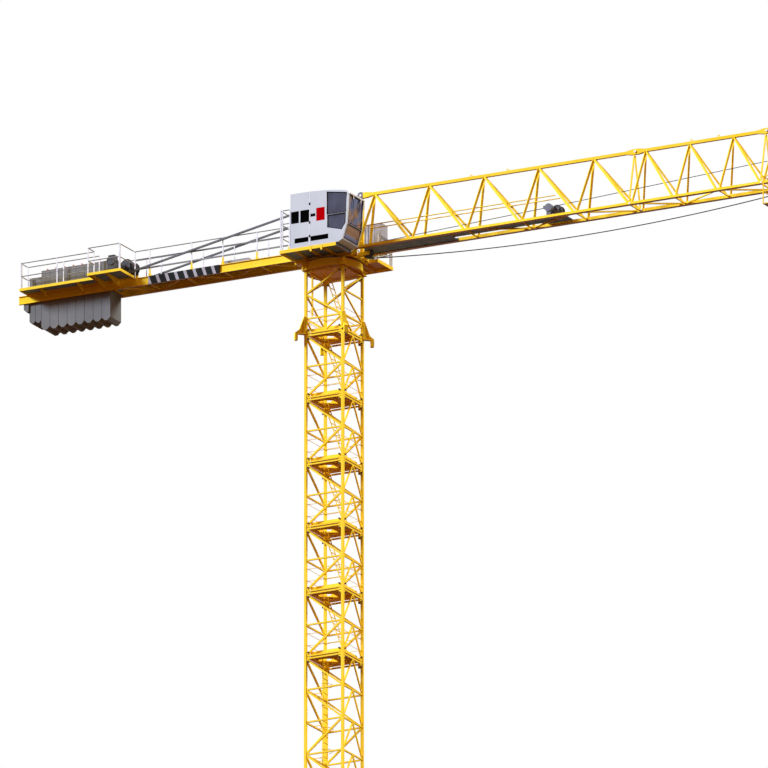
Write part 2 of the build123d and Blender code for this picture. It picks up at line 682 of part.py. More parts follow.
def hoist_motor():
    """Motor on the winch deck, its gear tube reaching over the girder to the drum."""
    x = HOIST_X - 105
    z = HOIST_Z - 81
    y0 = MOTOR_EDGE
    y1 = y0 + MOTOR_LENGTH
    level = MAST_TOP + z
    motor = rod((x, y0, level), (x, y1, level), MOTOR_RADIUS)
    motor += rod((x, y1, level), (x, HOIST_NEAR - 60 - FIT, level), 0.68 * MOTOR_RADIUS)
    motor += up(x - 120, x + 150, y0 + 40, y1 - 40, z, z + MOTOR_RADIUS + 45)
    return motor + up(x - 150, x + 150, y0 + 40, y1 - 40, WALK_TOP, z)


def travel_winch(base):
    """Motor of the trolley winch beside its drum, and the two bearing stands, standing on base."""
    x = TRAVEL_X - 250
    z = TRAVEL_Z + 80
    y0 = TRAVEL_NEAR - 270
    y1 = TRAVEL_NEAR - 52
    motor = disc(x, z, y0, y1, 165)
    motor += up(x - 250, x, y0 + 60, y1 - 20, z, z + 110)
    motor += up(x - 90, x + 90, y0 + 30, y1 - 20, base, z)
    stands = [
        bearing_stand(TRAVEL_X, TRAVEL_Z, TRAVEL_NEAR - 50, TRAVEL_NEAR - 10, base, 130),
        bearing_stand(TRAVEL_X, TRAVEL_Z, TRAVEL_FAR + 10, TRAVEL_FAR + 50, base, 130),
    ]
    return [motor, *stands]


def pulley(x, z, radius, axle):
    """Grooved rope wheel on an axle along Y."""
    half = PULLEY_WIDTH / 2
    wheel = disc(x, z, -half, half, radius)
    wheel += disc(x, z, -half, -half + 13, radius + 24)
    wheel += disc(x, z, half - 13, half, radius + 24)
    return wheel + disc(x, z, -axle, axle, 30)


def tip_height():
    """Height of the travel rope's outer pulley over the mast top."""
    return LOWER_CHORD + 0.5 * (UPPER_CHORD - LOWER_CHORD)


def rope_run(points):
    """Rope along straight runs through (X, height) points at Y = 0."""
    path = [Vector(x, 0, MAST_TOP + z) for x, z in points]
    outline = RegularPolygon(ROPE_RADIUS, 6, major_radius=False)
    section = section_plane(tuple(path[0]), tuple(path[1])) * outline
    return sweep(section, path=Polyline(*path), transition=Transition.RIGHT)


def hoist_rope_rear():
    """From the hoist drum over the head pulley and down to the root pulley."""
    hx, hz, hr = HEAD_PULLEY
    rx, rz, rr = ROOT_PULLEY
    hr += ROPE_RADIUS + FIT
    rr += ROPE_RADIUS + FIT
    lean = atan2(rz - hz, rx - hx) - asin((hr + rr) / hypot(rx - hx, rz - hz))
    normal = (-sin(lean), cos(lean))
    level = HOIST_Z + HOIST_CORE + ROPE_RADIUS + FIT
    leave = (hx + hr * normal[0], hz + hr * normal[1])
    arrive = (rx - rr * normal[0], rz - rr * normal[1])
    return [rope_run([(HOIST_X, level), (hx, hz + hr)]), rope_run([leave, arrive])]


def hoist_rope_front():
    """Sagging run from the root pulley to the trolley, then level to the jib tip."""
    x0 = ROOT_PULLEY[0]
    z0 = ROOT_PULLEY[1] - ROOT_PULLEY[2] - ROPE_RADIUS - FIT
    x1 = TROLLEY_X - SHEAVE_OFFSET - SHEAVE_RADIUS
    runs = 12
    points = []
    for k in range(runs + 1):
        share = k / runs
        chord = z0 + (ROPE_LEVEL - z0) * share
        sag = (z0 + ROPE_LEVEL) / 2 - ROPE_LOW
        points.append((x0 + (x1 - x0) * share, chord - 4 * sag * share * (1 - share)))
    return rope_run(points + [(JIB_END - 120, ROPE_LEVEL)])


def stay(side):
    """Tie rod from the cross-head to the girder, with its foot lug."""
    y = side * HEAD_HALF
    head = (HEAD_X - HEAD_POST / 2 - FIT, y, MAST_TOP + HEAD_TOP - HEAD_POST * 0.7)
    foot_point = (STAY_FOOT_X, y, MAST_TOP + STAY_FOOT_Z)
    tie = bar(head, foot_point, STAY_SIZE)
    lug = up(STAY_FOOT_X - 70, STAY_FOOT_X + 150, y - 16, y + 16, BEAM_TOP, STAY_FOOT_Z + 70)
    limit = block(-20000, HEAD_X - HEAD_POST / 2 - FIT, -2000, 2000, 0, 2 * MAST_TOP)
    return (tie + lug) & limit


def cab_outline():
    """Side outline of the cab, heights from the mast top."""
    points = [
        (CAB_REAR, DECK_TOP), (1252, DECK_TOP), (1440, 676), (1648, 1320), (1724, 2532),
        (1592, 2700), (800, 2816), (CAB_REAR, 2868),
    ]
    return make_face(Polyline(*points, close=True))


def cab_layer(inset, y0, y1):
    """Cab volume shrunk by an inset, between two Y planes."""
    face = cab_outline() if inset == 0 else offset(cab_outline(), amount=-inset)
    return Pos(0, y1, MAST_TOP) * extrude(Plane.XZ * face, amount=y1 - y0)


def window_cutters(shrink):
    """Volumes of the window openings in the near side and the front."""
    upper = [(744, 1800), (1590, 1790), (1628, 2590), (744, 2740)]
    lower = [(764, 1260), (1400, 1090), (1560, 1340), (1580, 1745), (764, 1752)]
    side_y = CAB_OUTER - 50
    cutters = []
    for points in (upper, lower):
        face = make_face(Polyline(*points, close=True))
        if shrink:
            face = offset(face, amount=-shrink)
        cutters.append(Pos(0, side_y + 180, MAST_TOP) * extrude(Plane.XZ * face, amount=180))
    y0 = CAB_OUTER + 110 + shrink
    y1 = CAB_INNER - 70 - shrink
    cutters.append(up(1500, 1900, y0, y1, 1350 + shrink, 2530 - shrink))
    cutters.append(up(1340, 1900, y0, y1, 745 + shrink, 1300 - shrink))
    return cutters


def cab_shell():
    """Hollow cab with its window openings."""
    shell = cab_layer(0, CAB_OUTER, CAB_INNER)
    shell -= cab_layer(CAB_WALL, CAB_OUTER + CAB_WALL, CAB_INNER - CAB_WALL)
    for cutter in window_cutters(0):
        shell -= cutter
    return shell


def cab_glass():
    """Panes set in the window openings, in the middle of the wall."""
    depth = (CAB_WALL - GLASS_THICK) / 2
    sheet = cab_layer(depth, CAB_OUTER + depth, CAB_INNER - depth)
    inner = depth + GLASS_THICK
    sheet -= cab_layer(inner, CAB_OUTER + inner, CAB_INNER - inner)
    return [sheet & cutter for cutter in window_cutters(FIT)]


def trolley_wheel_centres():
    """Wheel positions along X and the height of their axes."""
    rail = LOWER_CHORD - CHORD_SIZE / 2 + RAIL_THICK
    return [TROLLEY_X - TROLLEY_HALF * 0.72, TROLLEY_X + TROLLEY_HALF * 0.72], rail + FIT + WHEEL_RADIUS


def trolley_side(side):
    """Y planes of a trolley side plate and of the wheels inside it."""
    rail_edge = JIB_HALF + CHORD_SIZE / 2 + RAIL_FLANGE
    return side * (rail_edge + 12), side * (rail_edge + 12 + SIDE_PLATE)


def trolley_frame():
    """Side plates beside the chords, joined below them by cross beams and the sheave cheeks."""
    under = LOWER_CHORD - CHORD_SIZE / 2
    _, axis = trolley_wheel_centres()
    low = under - 190
    x0 = TROLLEY_X - TROLLEY_HALF
    x1 = TROLLEY_X + TROLLEY_HALF
    outer = abs(trolley_side(1)[1])
    pieces = []
    for side in (-1, 1):
        pieces.append(up(x0, x1, *sorted(trolley_side(side)), low, axis + 130))
    for x in (x0 + 60, TROLLEY_X, x1 - 60):
        pieces.append(up(x - 45, x + 45, -outer, outer, low, low + 90))
    cheek = PULLEY_WIDTH / 2 + 14
    for side in (-1, 1):
        y = sorted((side * cheek, side * (cheek + 16)))
        pieces.append(up(x0 + 60, x1 - 60, *y, ROPE_LEVEL - 300, low + 60))
    return weld(pieces)


def trolley_wheels():
    """Four running wheels with their stub axles."""
    centres, axis = trolley_wheel_centres()
    wheels = []
    for side in (-1, 1):
        plate = abs(trolley_side(side)[0])
        for x in centres:
            y = sorted((side * (plate - FIT), side * (plate - 14)))
            tread = sorted((side * (plate - 14), side * (plate - 14 - WHEEL_WIDTH)))
            wheels.append(disc(x, axis, *y, 30) + disc(x, axis, *tread, WHEEL_RADIUS))
    return wheels


def trolley_sheaves():
    """Two rope sheaves between the cheeks."""
    sheaves = []
    z = ROPE_LEVEL - ROPE_RADIUS - FIT - SHEAVE_RADIUS
    half = PULLEY_WIDTH / 2
    for side in (-1, 1):
        x = TROLLEY_X + side * SHEAVE_OFFSET
        axle = half + 14 - FIT
        sheaves.append(disc(x, z, -half, half, SHEAVE_RADIUS) + disc(x, z, -axle, axle, 35))
    return sheaves


def trolley_basket():
    """Service basket hung on the near side plate."""
    inner = trolley_side(-1)[1] - FIT
    x0 = TROLLEY_X - TROLLEY_HALF
    x1 = TROLLEY_X + 0.35 * TROLLEY_HALF
    size = POST_SIZE
    pieces = [up(x0, x1, BASKET_EDGE, inner, BASKET_FLOOR, BASKET_FLOOR + 30)]
    hang = LOWER_CHORD - CHORD_SIZE / 2
    for x in (x0, x1 - size):
        pieces.append(up(x, x + size, inner - size, inner, BASKET_FLOOR, hang))
        pieces.append(up(x, x + size, BASKET_EDGE, BASKET_EDGE + size, BASKET_FLOOR, hang))
    for z in (BASKET_FLOOR + 500, hang - size):
        pieces.append(up(x0, x1, BASKET_EDGE, BASKET_EDGE + size, z, z + size))
        for x in (x0, x1 - size):
            pieces.append(up(x, x + size, BASKET_EDGE, inner, z, z + size))
    return weld(pieces)


def hook_parts():
    """Two rope falls, the hook block and its hook."""
    sheave = ROPE_LEVEL - ROPE_RADIUS - FIT - SHEAVE_RADIUS
    reach = SHEAVE_OFFSET - SHEAVE_RADIUS - ROPE_RADIUS - FIT
    block_top = sheave - HOOK_DROP
    falls = []
    for side in (-1, 1):
        x = TROLLEY_X + side * reach
        falls.append(rod((x, 0, MAST_TOP + block_top), (x, 0, MAST_TOP + sheave), ROPE_RADIUS, 6))
    body = up(TROLLEY_X - 260, TROLLEY_X + 260, -95, 95, block_top - 420, block_top - FIT)
    ring = Pos(TROLLEY_X, 0, MAST_TOP + block_top - 700) * Rot(90, 0, 0) * Torus(120, 38)
    mouth = up(TROLLEY_X - 200, TROLLEY_X, -60, 60, block_top - 690, block_top - 500)
    hook = ring - mouth + up(TROLLEY_X - 35, TROLLEY_X + 35, -35, 35, block_top - 600, block_top - 420 - FIT)
    return falls, body, hook


def main():
    os.makedirs("parts", exist_ok=True)
    legs = [(x, y) for x in (-HALF, HALF) for y in (-HALF, HALF)]

    save("mast_feet", *[foot(x, y) for x, y in legs])
    save("mast_base_section", *base_section())
    plain = plain_section(0)
    for k in range(SECTION_COUNT):
        save(f"mast_section_{k + 1}", *[Pos(0, 0, JOINTS[k]) * solid for solid in plain])
    save("mast_head_section", *head_section())
    save("climbing_brackets", *[climbing_bracket(x, y) for x, y in legs])
    save("mast_platforms", *[mast_platform(joint) for joint in JOINTS])
    save("platform_toe_boards", *[toe_boards(joint) for joint in JOINTS])
    plate_top = JOINT_RAIL + PLATFORM_THICK / 2
    rise = SECTION_HEIGHT + JOINT_RAIL
    ladders = [ladder((LADDER_FOOT, z + plate_top), (LADDER_HEAD, z + rise)) for z in JOINTS[:-1]]
    ladders.append(ladder((LADDER_FOOT, JOINTS[-1] + plate_top), (0.8 * LADDER_HEAD, MAST_TOP + 40)))
    ladders.append(base_ladder())
    save("mast_ladders", *ladders)
    save("slewing_drum", slewing_drum())

    ring = Cylinder(RING_OUTER, RING_HEIGHT) - Cylinder(RING_INNER, RING_HEIGHT)
    save("slewing_ring", Pos(0, 0, MAST_TOP + DRUM_HEIGHT + FIT + RING_HEIGHT / 2) * ring)
    save("slewing_deck", deck())
    save("near_platform", platform(NEAR_PLATFORM_FRONT, -PLATFORM_EDGE, -DECK_HALF))
    save("far_platform", platform(FAR_PLATFORM_FRONT, DECK_HALF, PLATFORM_EDGE))
    save("tower_head", tower_head())
    save("cab_shell", cab_shell())
    save("cab_windows", *cab_glass())
    save("control_cabinet", up(CABINET_REAR, CABINET_FRONT, CAB_OUTER, CAB_INNER, DECK_TOP, CABINET_TOP))
    x0, x1, y0, y1, top = FAR_CABINET
    pedestal = up(x0, x0 + 0.25 * (x1 - x0), y0, y1, DECK_TOP, DECK_TOP + CABINET_STAND)
    save("switch_cabinet", pedestal + up(x0, x1, y0, y1, DECK_TOP + CABINET_STAND, top))
    edge = PLATFORM_EDGE - POST_SIZE
    far_front = FAR_PLATFORM_FRONT - POST_SIZE
    tall = (TALL_RAILING, None, (0.33, 0.66, 1.0))
    save(
        "platform_railings",
        railing((far_front, DECK_HALF + 90), (far_front, edge), DECK_TOP),
        railing((DECK_REAR + POST_SIZE, edge), (far_front - 2 * POST_SIZE, edge), DECK_TOP),
        railing((DECK_REAR + POST_SIZE, -edge), (DECK_REAR + POST_SIZE, -DECK_HALF - 90), DECK_TOP, *tall),
        railing((DECK_REAR + 3 * POST_SIZE, -edge), (CABINET_REAR - POST_SIZE, -edge), DECK_TOP, *tall),
    )

    save("jib_eye", jib_eye())
    root = (ROOT_BAY, ROOT_BAYS, ROOT_DIAGONAL, ROOT_TOP_SHIFT)
    save("jib_root_section", *jib_section(JIB_START, *root, TOP_CHORD_START, ROOT_END))
    outer = (OUTER_BAY, OUTER_BAYS, OUTER_DIAGONAL, OUTER_TOP_SHIFT)
    save("jib_middle_section", *jib_section(ROOT_END, *outer, ROOT_END + FIT, MIDDLE_END))
    save("jib_end_section", *jib_section(MIDDLE_END, *outer, MIDDLE_END + FIT, JIB_END))
    floor = LOWER_CHORD + LACING_SIZE / 2
    walk = JIB_HALF - 0.7 * CHORD_SIZE
    walk_start = ROOT_PULLEY[0] + 1.5 * ROOT_PULLEY[2]
    walkway = up(walk_start, TRAVEL_X + 500, -walk, walk / 2, floor, floor + GRATING_THICK)
    walkway += up(TRAVEL_X - 620, TRAVEL_X + 500, -walk, walk, floor, floor + GRATING_THICK)
    save("jib_walkway", walkway)
    base = floor + GRATING_THICK
    save("travel_winch", *travel_winch(base))
    travel_ends = (TRAVEL_NEAR, TRAVEL_FAR)
    save("travel_drum", winch_drum(TRAVEL_X, TRAVEL_Z, *travel_ends, TRAVEL_CORE, TRAVEL_FLANGE))
    tip = (JIB_END - 80, tip_height())
    guide = (walk_start + 150, base + 110)
    strut = HEAD_REAR_HALF - HEAD_POST * 0.4
    axle = CHEEK_GAP - FIT
    save(
        "rope_pulleys",
        pulley(*HEAD_PULLEY, strut - FIT),
        pulley(*ROOT_PULLEY, axle),
        pulley(*tip, TIP_PULLEY_RADIUS, axle),
        pulley(*guide, GUIDE_RADIUS, axle),
    )
    cheeks = []
    for side in (-1, 1):
        y = sorted((side * CHEEK_GAP, side * (CHEEK_GAP + 16)))
        cheeks.append(up(tip[0] - 45, tip[0] + 45, *y, floor, tip[1] + 60))
        cheeks.append(up(guide[0] - 45, guide[0] + 45, *y, base, guide[1] + 45))
    save("pulley_cheeks", *cheeks)
    level = TRAVEL_Z + TRAVEL_CORE + ROPE_RADIUS + FIT
    over = ROPE_RADIUS + FIT
    inner_rope = rope_run([(guide[0], guide[1] + GUIDE_RADIUS + over), (TRAVEL_X - 2, level)])
    outer_rope = rope_run([(TRAVEL_X + 2, level), (tip[0], tip[1] + TIP_PULLEY_RADIUS + over)])
    save("travel_rope", inner_rope, outer_rope)
    save("hoist_rope_rear", *hoist_rope_rear())
    save("hoist_rope_front", hoist_rope_front())

    save("counter_jib_girders", i_beam(-BEAM_Y), i_beam(BEAM_Y))
    save("counter_jib_bracing", counter_bracing())
    inner = BEAM_Y - BEAM_FLANGE / 2
    save(
        "counter_jib_walkway",
        up(GRATING_REAR, DECK_REAR, -inner, inner, BEAM_TOP - GRATING_THICK, BEAM_TOP),
    )
    girder_edge = -BEAM_Y - BEAM_FLANGE / 2
    save("side_walkway", walk_deck(WALK_REAR, WALK_FRONT - FIT, WALK_EDGE, girder_edge + 12, WALK_BRACKETS))
    deck_inner = girder_edge - WALK_GAP
    save("winch_deck", walk_deck(WALK_FRONT, WINCH_DECK_FRONT, WINCH_DECK_EDGE, deck_inner, DECK_BRACKETS))
    post_y = BEAM_Y - BEAM_FLANGE / 2 + POST_SIZE / 2
    rail_edge = WALK_EDGE + POST_SIZE
    rail_inner = girder_edge - POST_SIZE
    deck_edge = WINCH_DECK_EDGE + POST_SIZE
    posts = [(x - GRATING_REAR) / (DECK_REAR - GRATING_REAR) for x in GIRDER_POSTS]
    rear = WALK_REAR + 60
    front = WALK_FRONT - 60
    step = WALK_FRONT + 30
    deck_front = WINCH_DECK_FRONT - 60
    girder_rails = (BEAM_TOP, GIRDER_RAILING, posts, (0.32, 0.66, 1.0))
    deck_rails = (WALK_TOP, RAILING_HEIGHT)
    save(
        "counter_jib_railings",
        *[railing((GRATING_REAR, s * post_y), (DECK_REAR, s * post_y), *girder_rails) for s in (-1, 1)],
        railing((rear, rail_edge), (step - 60, rail_edge), *deck_rails, [0, 0.5]),
        railing((rear, rail_inner), (front, rail_inner), *deck_rails),
        railing((rear, rail_edge + 60), (rear, rail_inner - 60), *deck_rails, [0]),
        railing((step, deck_edge), (deck_front, deck_edge), *deck_rails),
        railing((step, deck_edge + 60), (step, WALK_EDGE), *deck_rails, [1]),
        railing((deck_front, deck_edge + 60), (deck_front, -post_y - POST_SIZE), *deck_rails, [0]),
    )
    save("sign_panel", up(SIGN_REAR, SIGN_FRONT, girder_edge - 30, girder_edge, DECK_TOP - 6, BEAM_TOP - 6))
    large, trim = slab_edges()
    slabs = [slab(a + SLAB_GAP, b, SLAB_BOTTOM, SLAB_TOP) for a, b in large]
    slabs += [slab(a + SLAB_GAP, b, TRIM_BOTTOM, TRIM_TOP) for a, b in trim]
    save("ballast_slabs", *slabs, end_block(trim[-1][0]))
    save("slab_ears", *slab_ears())
    save("hoist_winch_frame", hoist_winch_frame())
    save("hoist_motor", hoist_motor())
    save("hoist_drum", winch_drum(HOIST_X, HOIST_Z, HOIST_NEAR, HOIST_FAR, HOIST_CORE, HOIST_FLANGE))
    save("stay_rods", stay(-1), stay(1))

    save("trolley_frame", trolley_frame())
    save("trolley_wheels", *trolley_wheels(), *trolley_sheaves())
    save("trolley_basket", trolley_basket())
    falls, body, hook = hook_parts()
    save("hook_falls", *falls)
    save("hook_block", body, hook)


main()
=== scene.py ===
import bpy
import json
from math import cos, pi, sin
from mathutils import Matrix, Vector


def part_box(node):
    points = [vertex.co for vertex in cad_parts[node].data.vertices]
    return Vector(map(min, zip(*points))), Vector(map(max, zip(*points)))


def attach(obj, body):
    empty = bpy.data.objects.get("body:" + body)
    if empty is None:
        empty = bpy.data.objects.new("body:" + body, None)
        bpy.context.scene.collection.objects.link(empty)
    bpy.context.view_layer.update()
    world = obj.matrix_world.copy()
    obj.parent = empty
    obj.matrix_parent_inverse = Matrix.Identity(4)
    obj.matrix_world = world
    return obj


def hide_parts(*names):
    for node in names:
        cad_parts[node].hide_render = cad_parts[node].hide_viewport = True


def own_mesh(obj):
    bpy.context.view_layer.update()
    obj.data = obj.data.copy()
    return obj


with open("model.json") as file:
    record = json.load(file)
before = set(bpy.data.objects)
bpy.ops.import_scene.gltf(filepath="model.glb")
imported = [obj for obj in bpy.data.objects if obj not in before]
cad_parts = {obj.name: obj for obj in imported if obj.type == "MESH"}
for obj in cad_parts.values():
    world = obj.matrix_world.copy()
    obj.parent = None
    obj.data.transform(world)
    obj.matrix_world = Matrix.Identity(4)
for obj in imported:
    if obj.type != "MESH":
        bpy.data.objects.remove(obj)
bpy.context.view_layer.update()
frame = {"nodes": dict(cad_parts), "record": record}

# Lines of the crane in metres, read from the CAD where a node gives them.
# X runs along the jib, Y across it with the cab on the negative side, Z up.
SIDES = (-1, 1)
CORNERS = [(a, b) for a in SIDES for b in SIDES]

# Mast: axis and outer face of a leg, from the mast's middle
MAST_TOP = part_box("slewing_drum")[0][2]
SECTION = 2.7
JOINTS = [MAST_TOP - SECTION * k for k in range(7)]
LEG = 0.836
LEG_FACE = 0.889
LEG_SIZE = 2 * (LEG_FACE - LEG)

# Jib: axes of the chords and half of a chord's width
CHORD = 0.062
LOWER_CHORD = MAST_TOP + 0.752
UPPER_CHORD = MAST_TOP + 3.062
JIB_HALF = 0.502
JIB_FLOOR_START = 1.5
JIB_JOINTS = [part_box("jib_root_section")[1][0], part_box("jib_middle_section")[1][0]]
# Lifting eyes on the top chord, by X
JIB_EYES = (6.2, 7.85, 16.12, 17.34, 22.0)

# Cab and the seam between it and the control cabinet
CAB_LOW, CAB_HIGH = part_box("cab_shell")
CAB_SIDE = CAB_LOW[1]
SEAM_REAR, SEAM_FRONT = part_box("control_cabinet")[1][0], CAB_LOW[0]
# Front face as height over the mast top and X, from the foot up
CAB_FRONT = [(0.676, 1.44), (1.32, 1.648), (2.532, 1.724), (2.7, 1.592)]
# Side panes as X and height over the mast top
UPPER_PANE = [(0.744, 1.8), (1.59, 1.79), (1.628, 2.59), (0.744, 2.74)]
LOWER_PANE = [(0.764, 1.26), (1.4, 1.09), (1.56, 1.34), (1.58, 1.745), (0.764, 1.752)]
# Front panes as heights over the mast top, from and to
FRONT_PANES = [(1.35, 2.53), (0.745, 1.3)]
# Plain blocks on the cab side: X from, to, height over the mast top from, to
BLACK_BLOCKS = [
    (-0.88, -0.53, 1.62, 2.12),
    (-0.46, -0.06, 1.61, 2.12),
    (0.0, 0.22, 1.8, 1.92),
    (-0.72, -0.1, 0.78, 0.98),
    (0.0, 0.8, 0.78, 0.98),
]
RED_BLOCK = (0.26, 0.64, 1.59, 2.13)

# Counter-jib
GIRDER_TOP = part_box("counter_jib_girders")[1][2]
GIRDER_POSTS = (-8.104, -6.204, -4.78, -3.236, -1.8)
GIRDER_RAIL_SIDE = 0.495
WALKWAY_TOP = MAST_TOP + 1.02
DECK_TOP = MAST_TOP + 0.578
# Railings: height, and the shares of it at which the rails run
GIRDER_RAIL = (1.15, (0.32, 0.66, 1.0))
LOW_RAIL = (1.069, (0.48, 1.0))
TALL_RAIL = (1.677, (0.33, 0.66, 1.0))
# Straight runs of rail: from and to in X and Y, level they stand on, kind of railing
RAIL_RUNS = [
    ((-8.8, -GIRDER_RAIL_SIDE), (-1.4, -GIRDER_RAIL_SIDE), GIRDER_TOP, GIRDER_RAIL),
    ((-8.8, GIRDER_RAIL_SIDE), (-1.4, GIRDER_RAIL_SIDE), GIRDER_TOP, GIRDER_RAIL),
    ((-13.6, -1.2), (-10.31, -1.2), WALKWAY_TOP, LOW_RAIL),
    ((-13.6, -0.615), (-10.34, -0.615), WALKWAY_TOP, LOW_RAIL),
    ((-13.6, -1.14), (-13.6, -0.675), WALKWAY_TOP, LOW_RAIL),
    ((-10.25, -1.744), (-8.827, -1.744), WALKWAY_TOP, LOW_RAIL),
    ((-10.25, -1.684), (-10.25, -1.24), WALKWAY_TOP, LOW_RAIL),
    ((-8.827, -1.684), (-8.827, -0.535), WALKWAY_TOP, LOW_RAIL),
    ((1.56, 0.81), (1.56, 2.0), DECK_TOP, LOW_RAIL),
    ((-1.36, 2.0), (1.48, 2.0), DECK_TOP, LOW_RAIL),
    ((-1.36, -2.0), (-1.36, -0.81), DECK_TOP, TALL_RAIL),
    ((-1.28, -2.0), (-0.948, -2.0), DECK_TOP, TALL_RAIL),
]


# Materials

def rgb(code):
    """Linear colour of an sRGB hex code."""
    channels = [int(code[k:k + 2], 16) / 255 for k in (1, 3, 5)]
    return [c / 12.92 if c <= 0.04045 else ((c + 0.055) / 1.055) ** 2.4 for c in channels] + [1.0]


def add(tree, kind, inputs=None, **settings):
    """New node; an input is set from a value or linked from a socket."""
    node = tree.nodes.new(kind)
    for name, value in settings.items():
        setattr(node, name, value)
    for name, value in (inputs or {}).items():
        if isinstance(value, bpy.types.NodeSocket):
            tree.links.new(value, node.inputs[name])
        else:
            node.inputs[name].default_value = value
    return node


def new_material(name, rough, metal=0.0, gloss=0.12):
    """Material with a Principled shader on its output."""
    material = bpy.data.materials.new(name)
    material.use_nodes = True
    tree = material.node_tree
    tree.nodes.clear()
    finish = {"Roughness": rough, "Metallic": metal, "Specular IOR Level": gloss}
    shader = add(tree, "ShaderNodeBsdfPrincipled", finish)
    add(tree, "ShaderNodeOutputMaterial", {"Surface": shader.outputs[0]})
    return material, tree, shader


def place(tree):
    """Object coordinates, in metres."""
    return add(tree, "ShaderNodeTexCoord").outputs["Object"]


def noise(tree, patch, stretch=(1, 1, 1)):
    """Noise in object space; patch is its width in metres."""
    scaled = add(tree, "ShaderNodeMapping", {"Vector": place(tree), "Scale": stretch})
    inputs = {"Vector": scaled.outputs[0], "Scale": 1 / patch, "Detail": 3.0}
    return add(tree, "ShaderNodeTexNoise", inputs).outputs[0]


def ramp(tree, factor, low, high, start=0.35, end=0.65):
    """Colour that runs from low to high as factor runs from start to end."""
    node = add(tree, "ShaderNodeValToRGB", {"Fac": factor})
    for element, position, code in zip(node.color_ramp.elements, (start, end), (low, high)):
        element.position = position
        element.color = rgb(code)
    return node.outputs[0]


def stripes(tree, direction, pitch):
    """0 to 1 saw along a direction, repeating every pitch."""
    along = add(tree, "ShaderNodeVectorMath", {0: place(tree), 1: direction}, operation="DOT_PRODUCT")
    scaled = add(tree, "ShaderNodeMath", {0: along.outputs["Value"], 1: 1 / pitch}, operation="MULTIPLY")
    return add(tree, "ShaderNodeMath", {0: scaled.outputs[0]}, operation="FRACT").outputs[0]


def coated(name, low, high, patch, rough, metal=0.0, stretch=(1, 1, 1), gloss=0.12):
    """Coat whose colour drifts between two tones over patches of a given width."""
    material, tree, shader = new_material(name, rough, metal, gloss)
    tree.links.new(ramp(tree, noise(tree, patch, stretch), low, high), shader.inputs["Base Color"])
    return material


def banded(name, low, high, direction, pitch, rough, share=0.5):
    """Two sharp-edged colours in bands across a direction; share is the low one's part of a band."""
    edge = 0.01
    material, tree, shader = new_material(name, rough)
    colour = ramp(tree, stripes(tree, direction, pitch), low, high, share - edge, share + edge)
    tree.links.new(colour, shader.inputs["Base Color"])
    return material


def blend(tree, factor, low, high):
    """Colour between low at factor 0 and high at factor 1."""
    return add(tree, "ShaderNodeMix", {"Factor": factor, 6: low, 7: high}, data_type="RGBA").outputs[2]


def above(tree, value, edge):
    """1 where value is over edge, else 0."""
    return add(tree, "ShaderNodeMath", {0: value, 1: edge}, operation="GREATER_THAN").outputs[0]


def glass():
    """Tinted float glass, slate at the sides; the front panes carry painted reflections: blue sky with brown
    ground patches, and brown over blue at the foot.
    """
    brown_edge = MAST_TOP + 0.93
    pane_split = MAST_TOP + 1.33
    side_edge = CAB_SIDE + 0.09
    material, tree, shader = new_material("safety_glass_tinted_float", rough=0.08, gloss=0.3)
    spot = add(tree, "ShaderNodeSeparateXYZ", {"Vector": place(tree)}).outputs
    side = ramp(tree, noise(tree, 0.7), "#3E4258", "#50546C")
    # painted reflection: patches of blue sky and brown ground on the upper front pane
    upper = ramp(tree, noise(tree, 0.32, (1, 1, 0.5)), "#4A5688", "#96724A", 0.46, 0.62)
    # painted reflection: brown ground over blue sky on the lower front pane
    lower = blend(tree, above(tree, spot["Z"], brown_edge), rgb("#7C86B4"), rgb("#9A7440"))
    front = blend(tree, above(tree, spot["Z"], pane_split), lower, upper)
    colour = blend(tree, above(tree, spot["Y"], side_edge), side, front)
    tree.links.new(colour, shader.inputs["Base Color"])
    return material


def structural_paint():
    """Sprayed yellow, a little uneven from bar to bar; faces turned down get a deep orange as painted shade.
    """
    turned_down = -0.8
    material, tree, shader = new_material("structural_steel_sprayed_yellow", rough=0.42, gloss=0.03)
    own_yellow = ramp(tree, noise(tree, 0.9), "#FFDC30", "#FFE344")
    facing = add(tree, "ShaderNodeNewGeometry").outputs["Normal"]
    upward = add(tree, "ShaderNodeSeparateXYZ", {"Vector": facing}).outputs["Z"]
    # painted shade: faces turned down take a deep orange in place of the yellow
    colour = blend(tree, above(tree, upward, turned_down), rgb("#B87C1A"), own_yellow)
    tree.links.new(colour, shader.inputs["Base Color"])
    return material


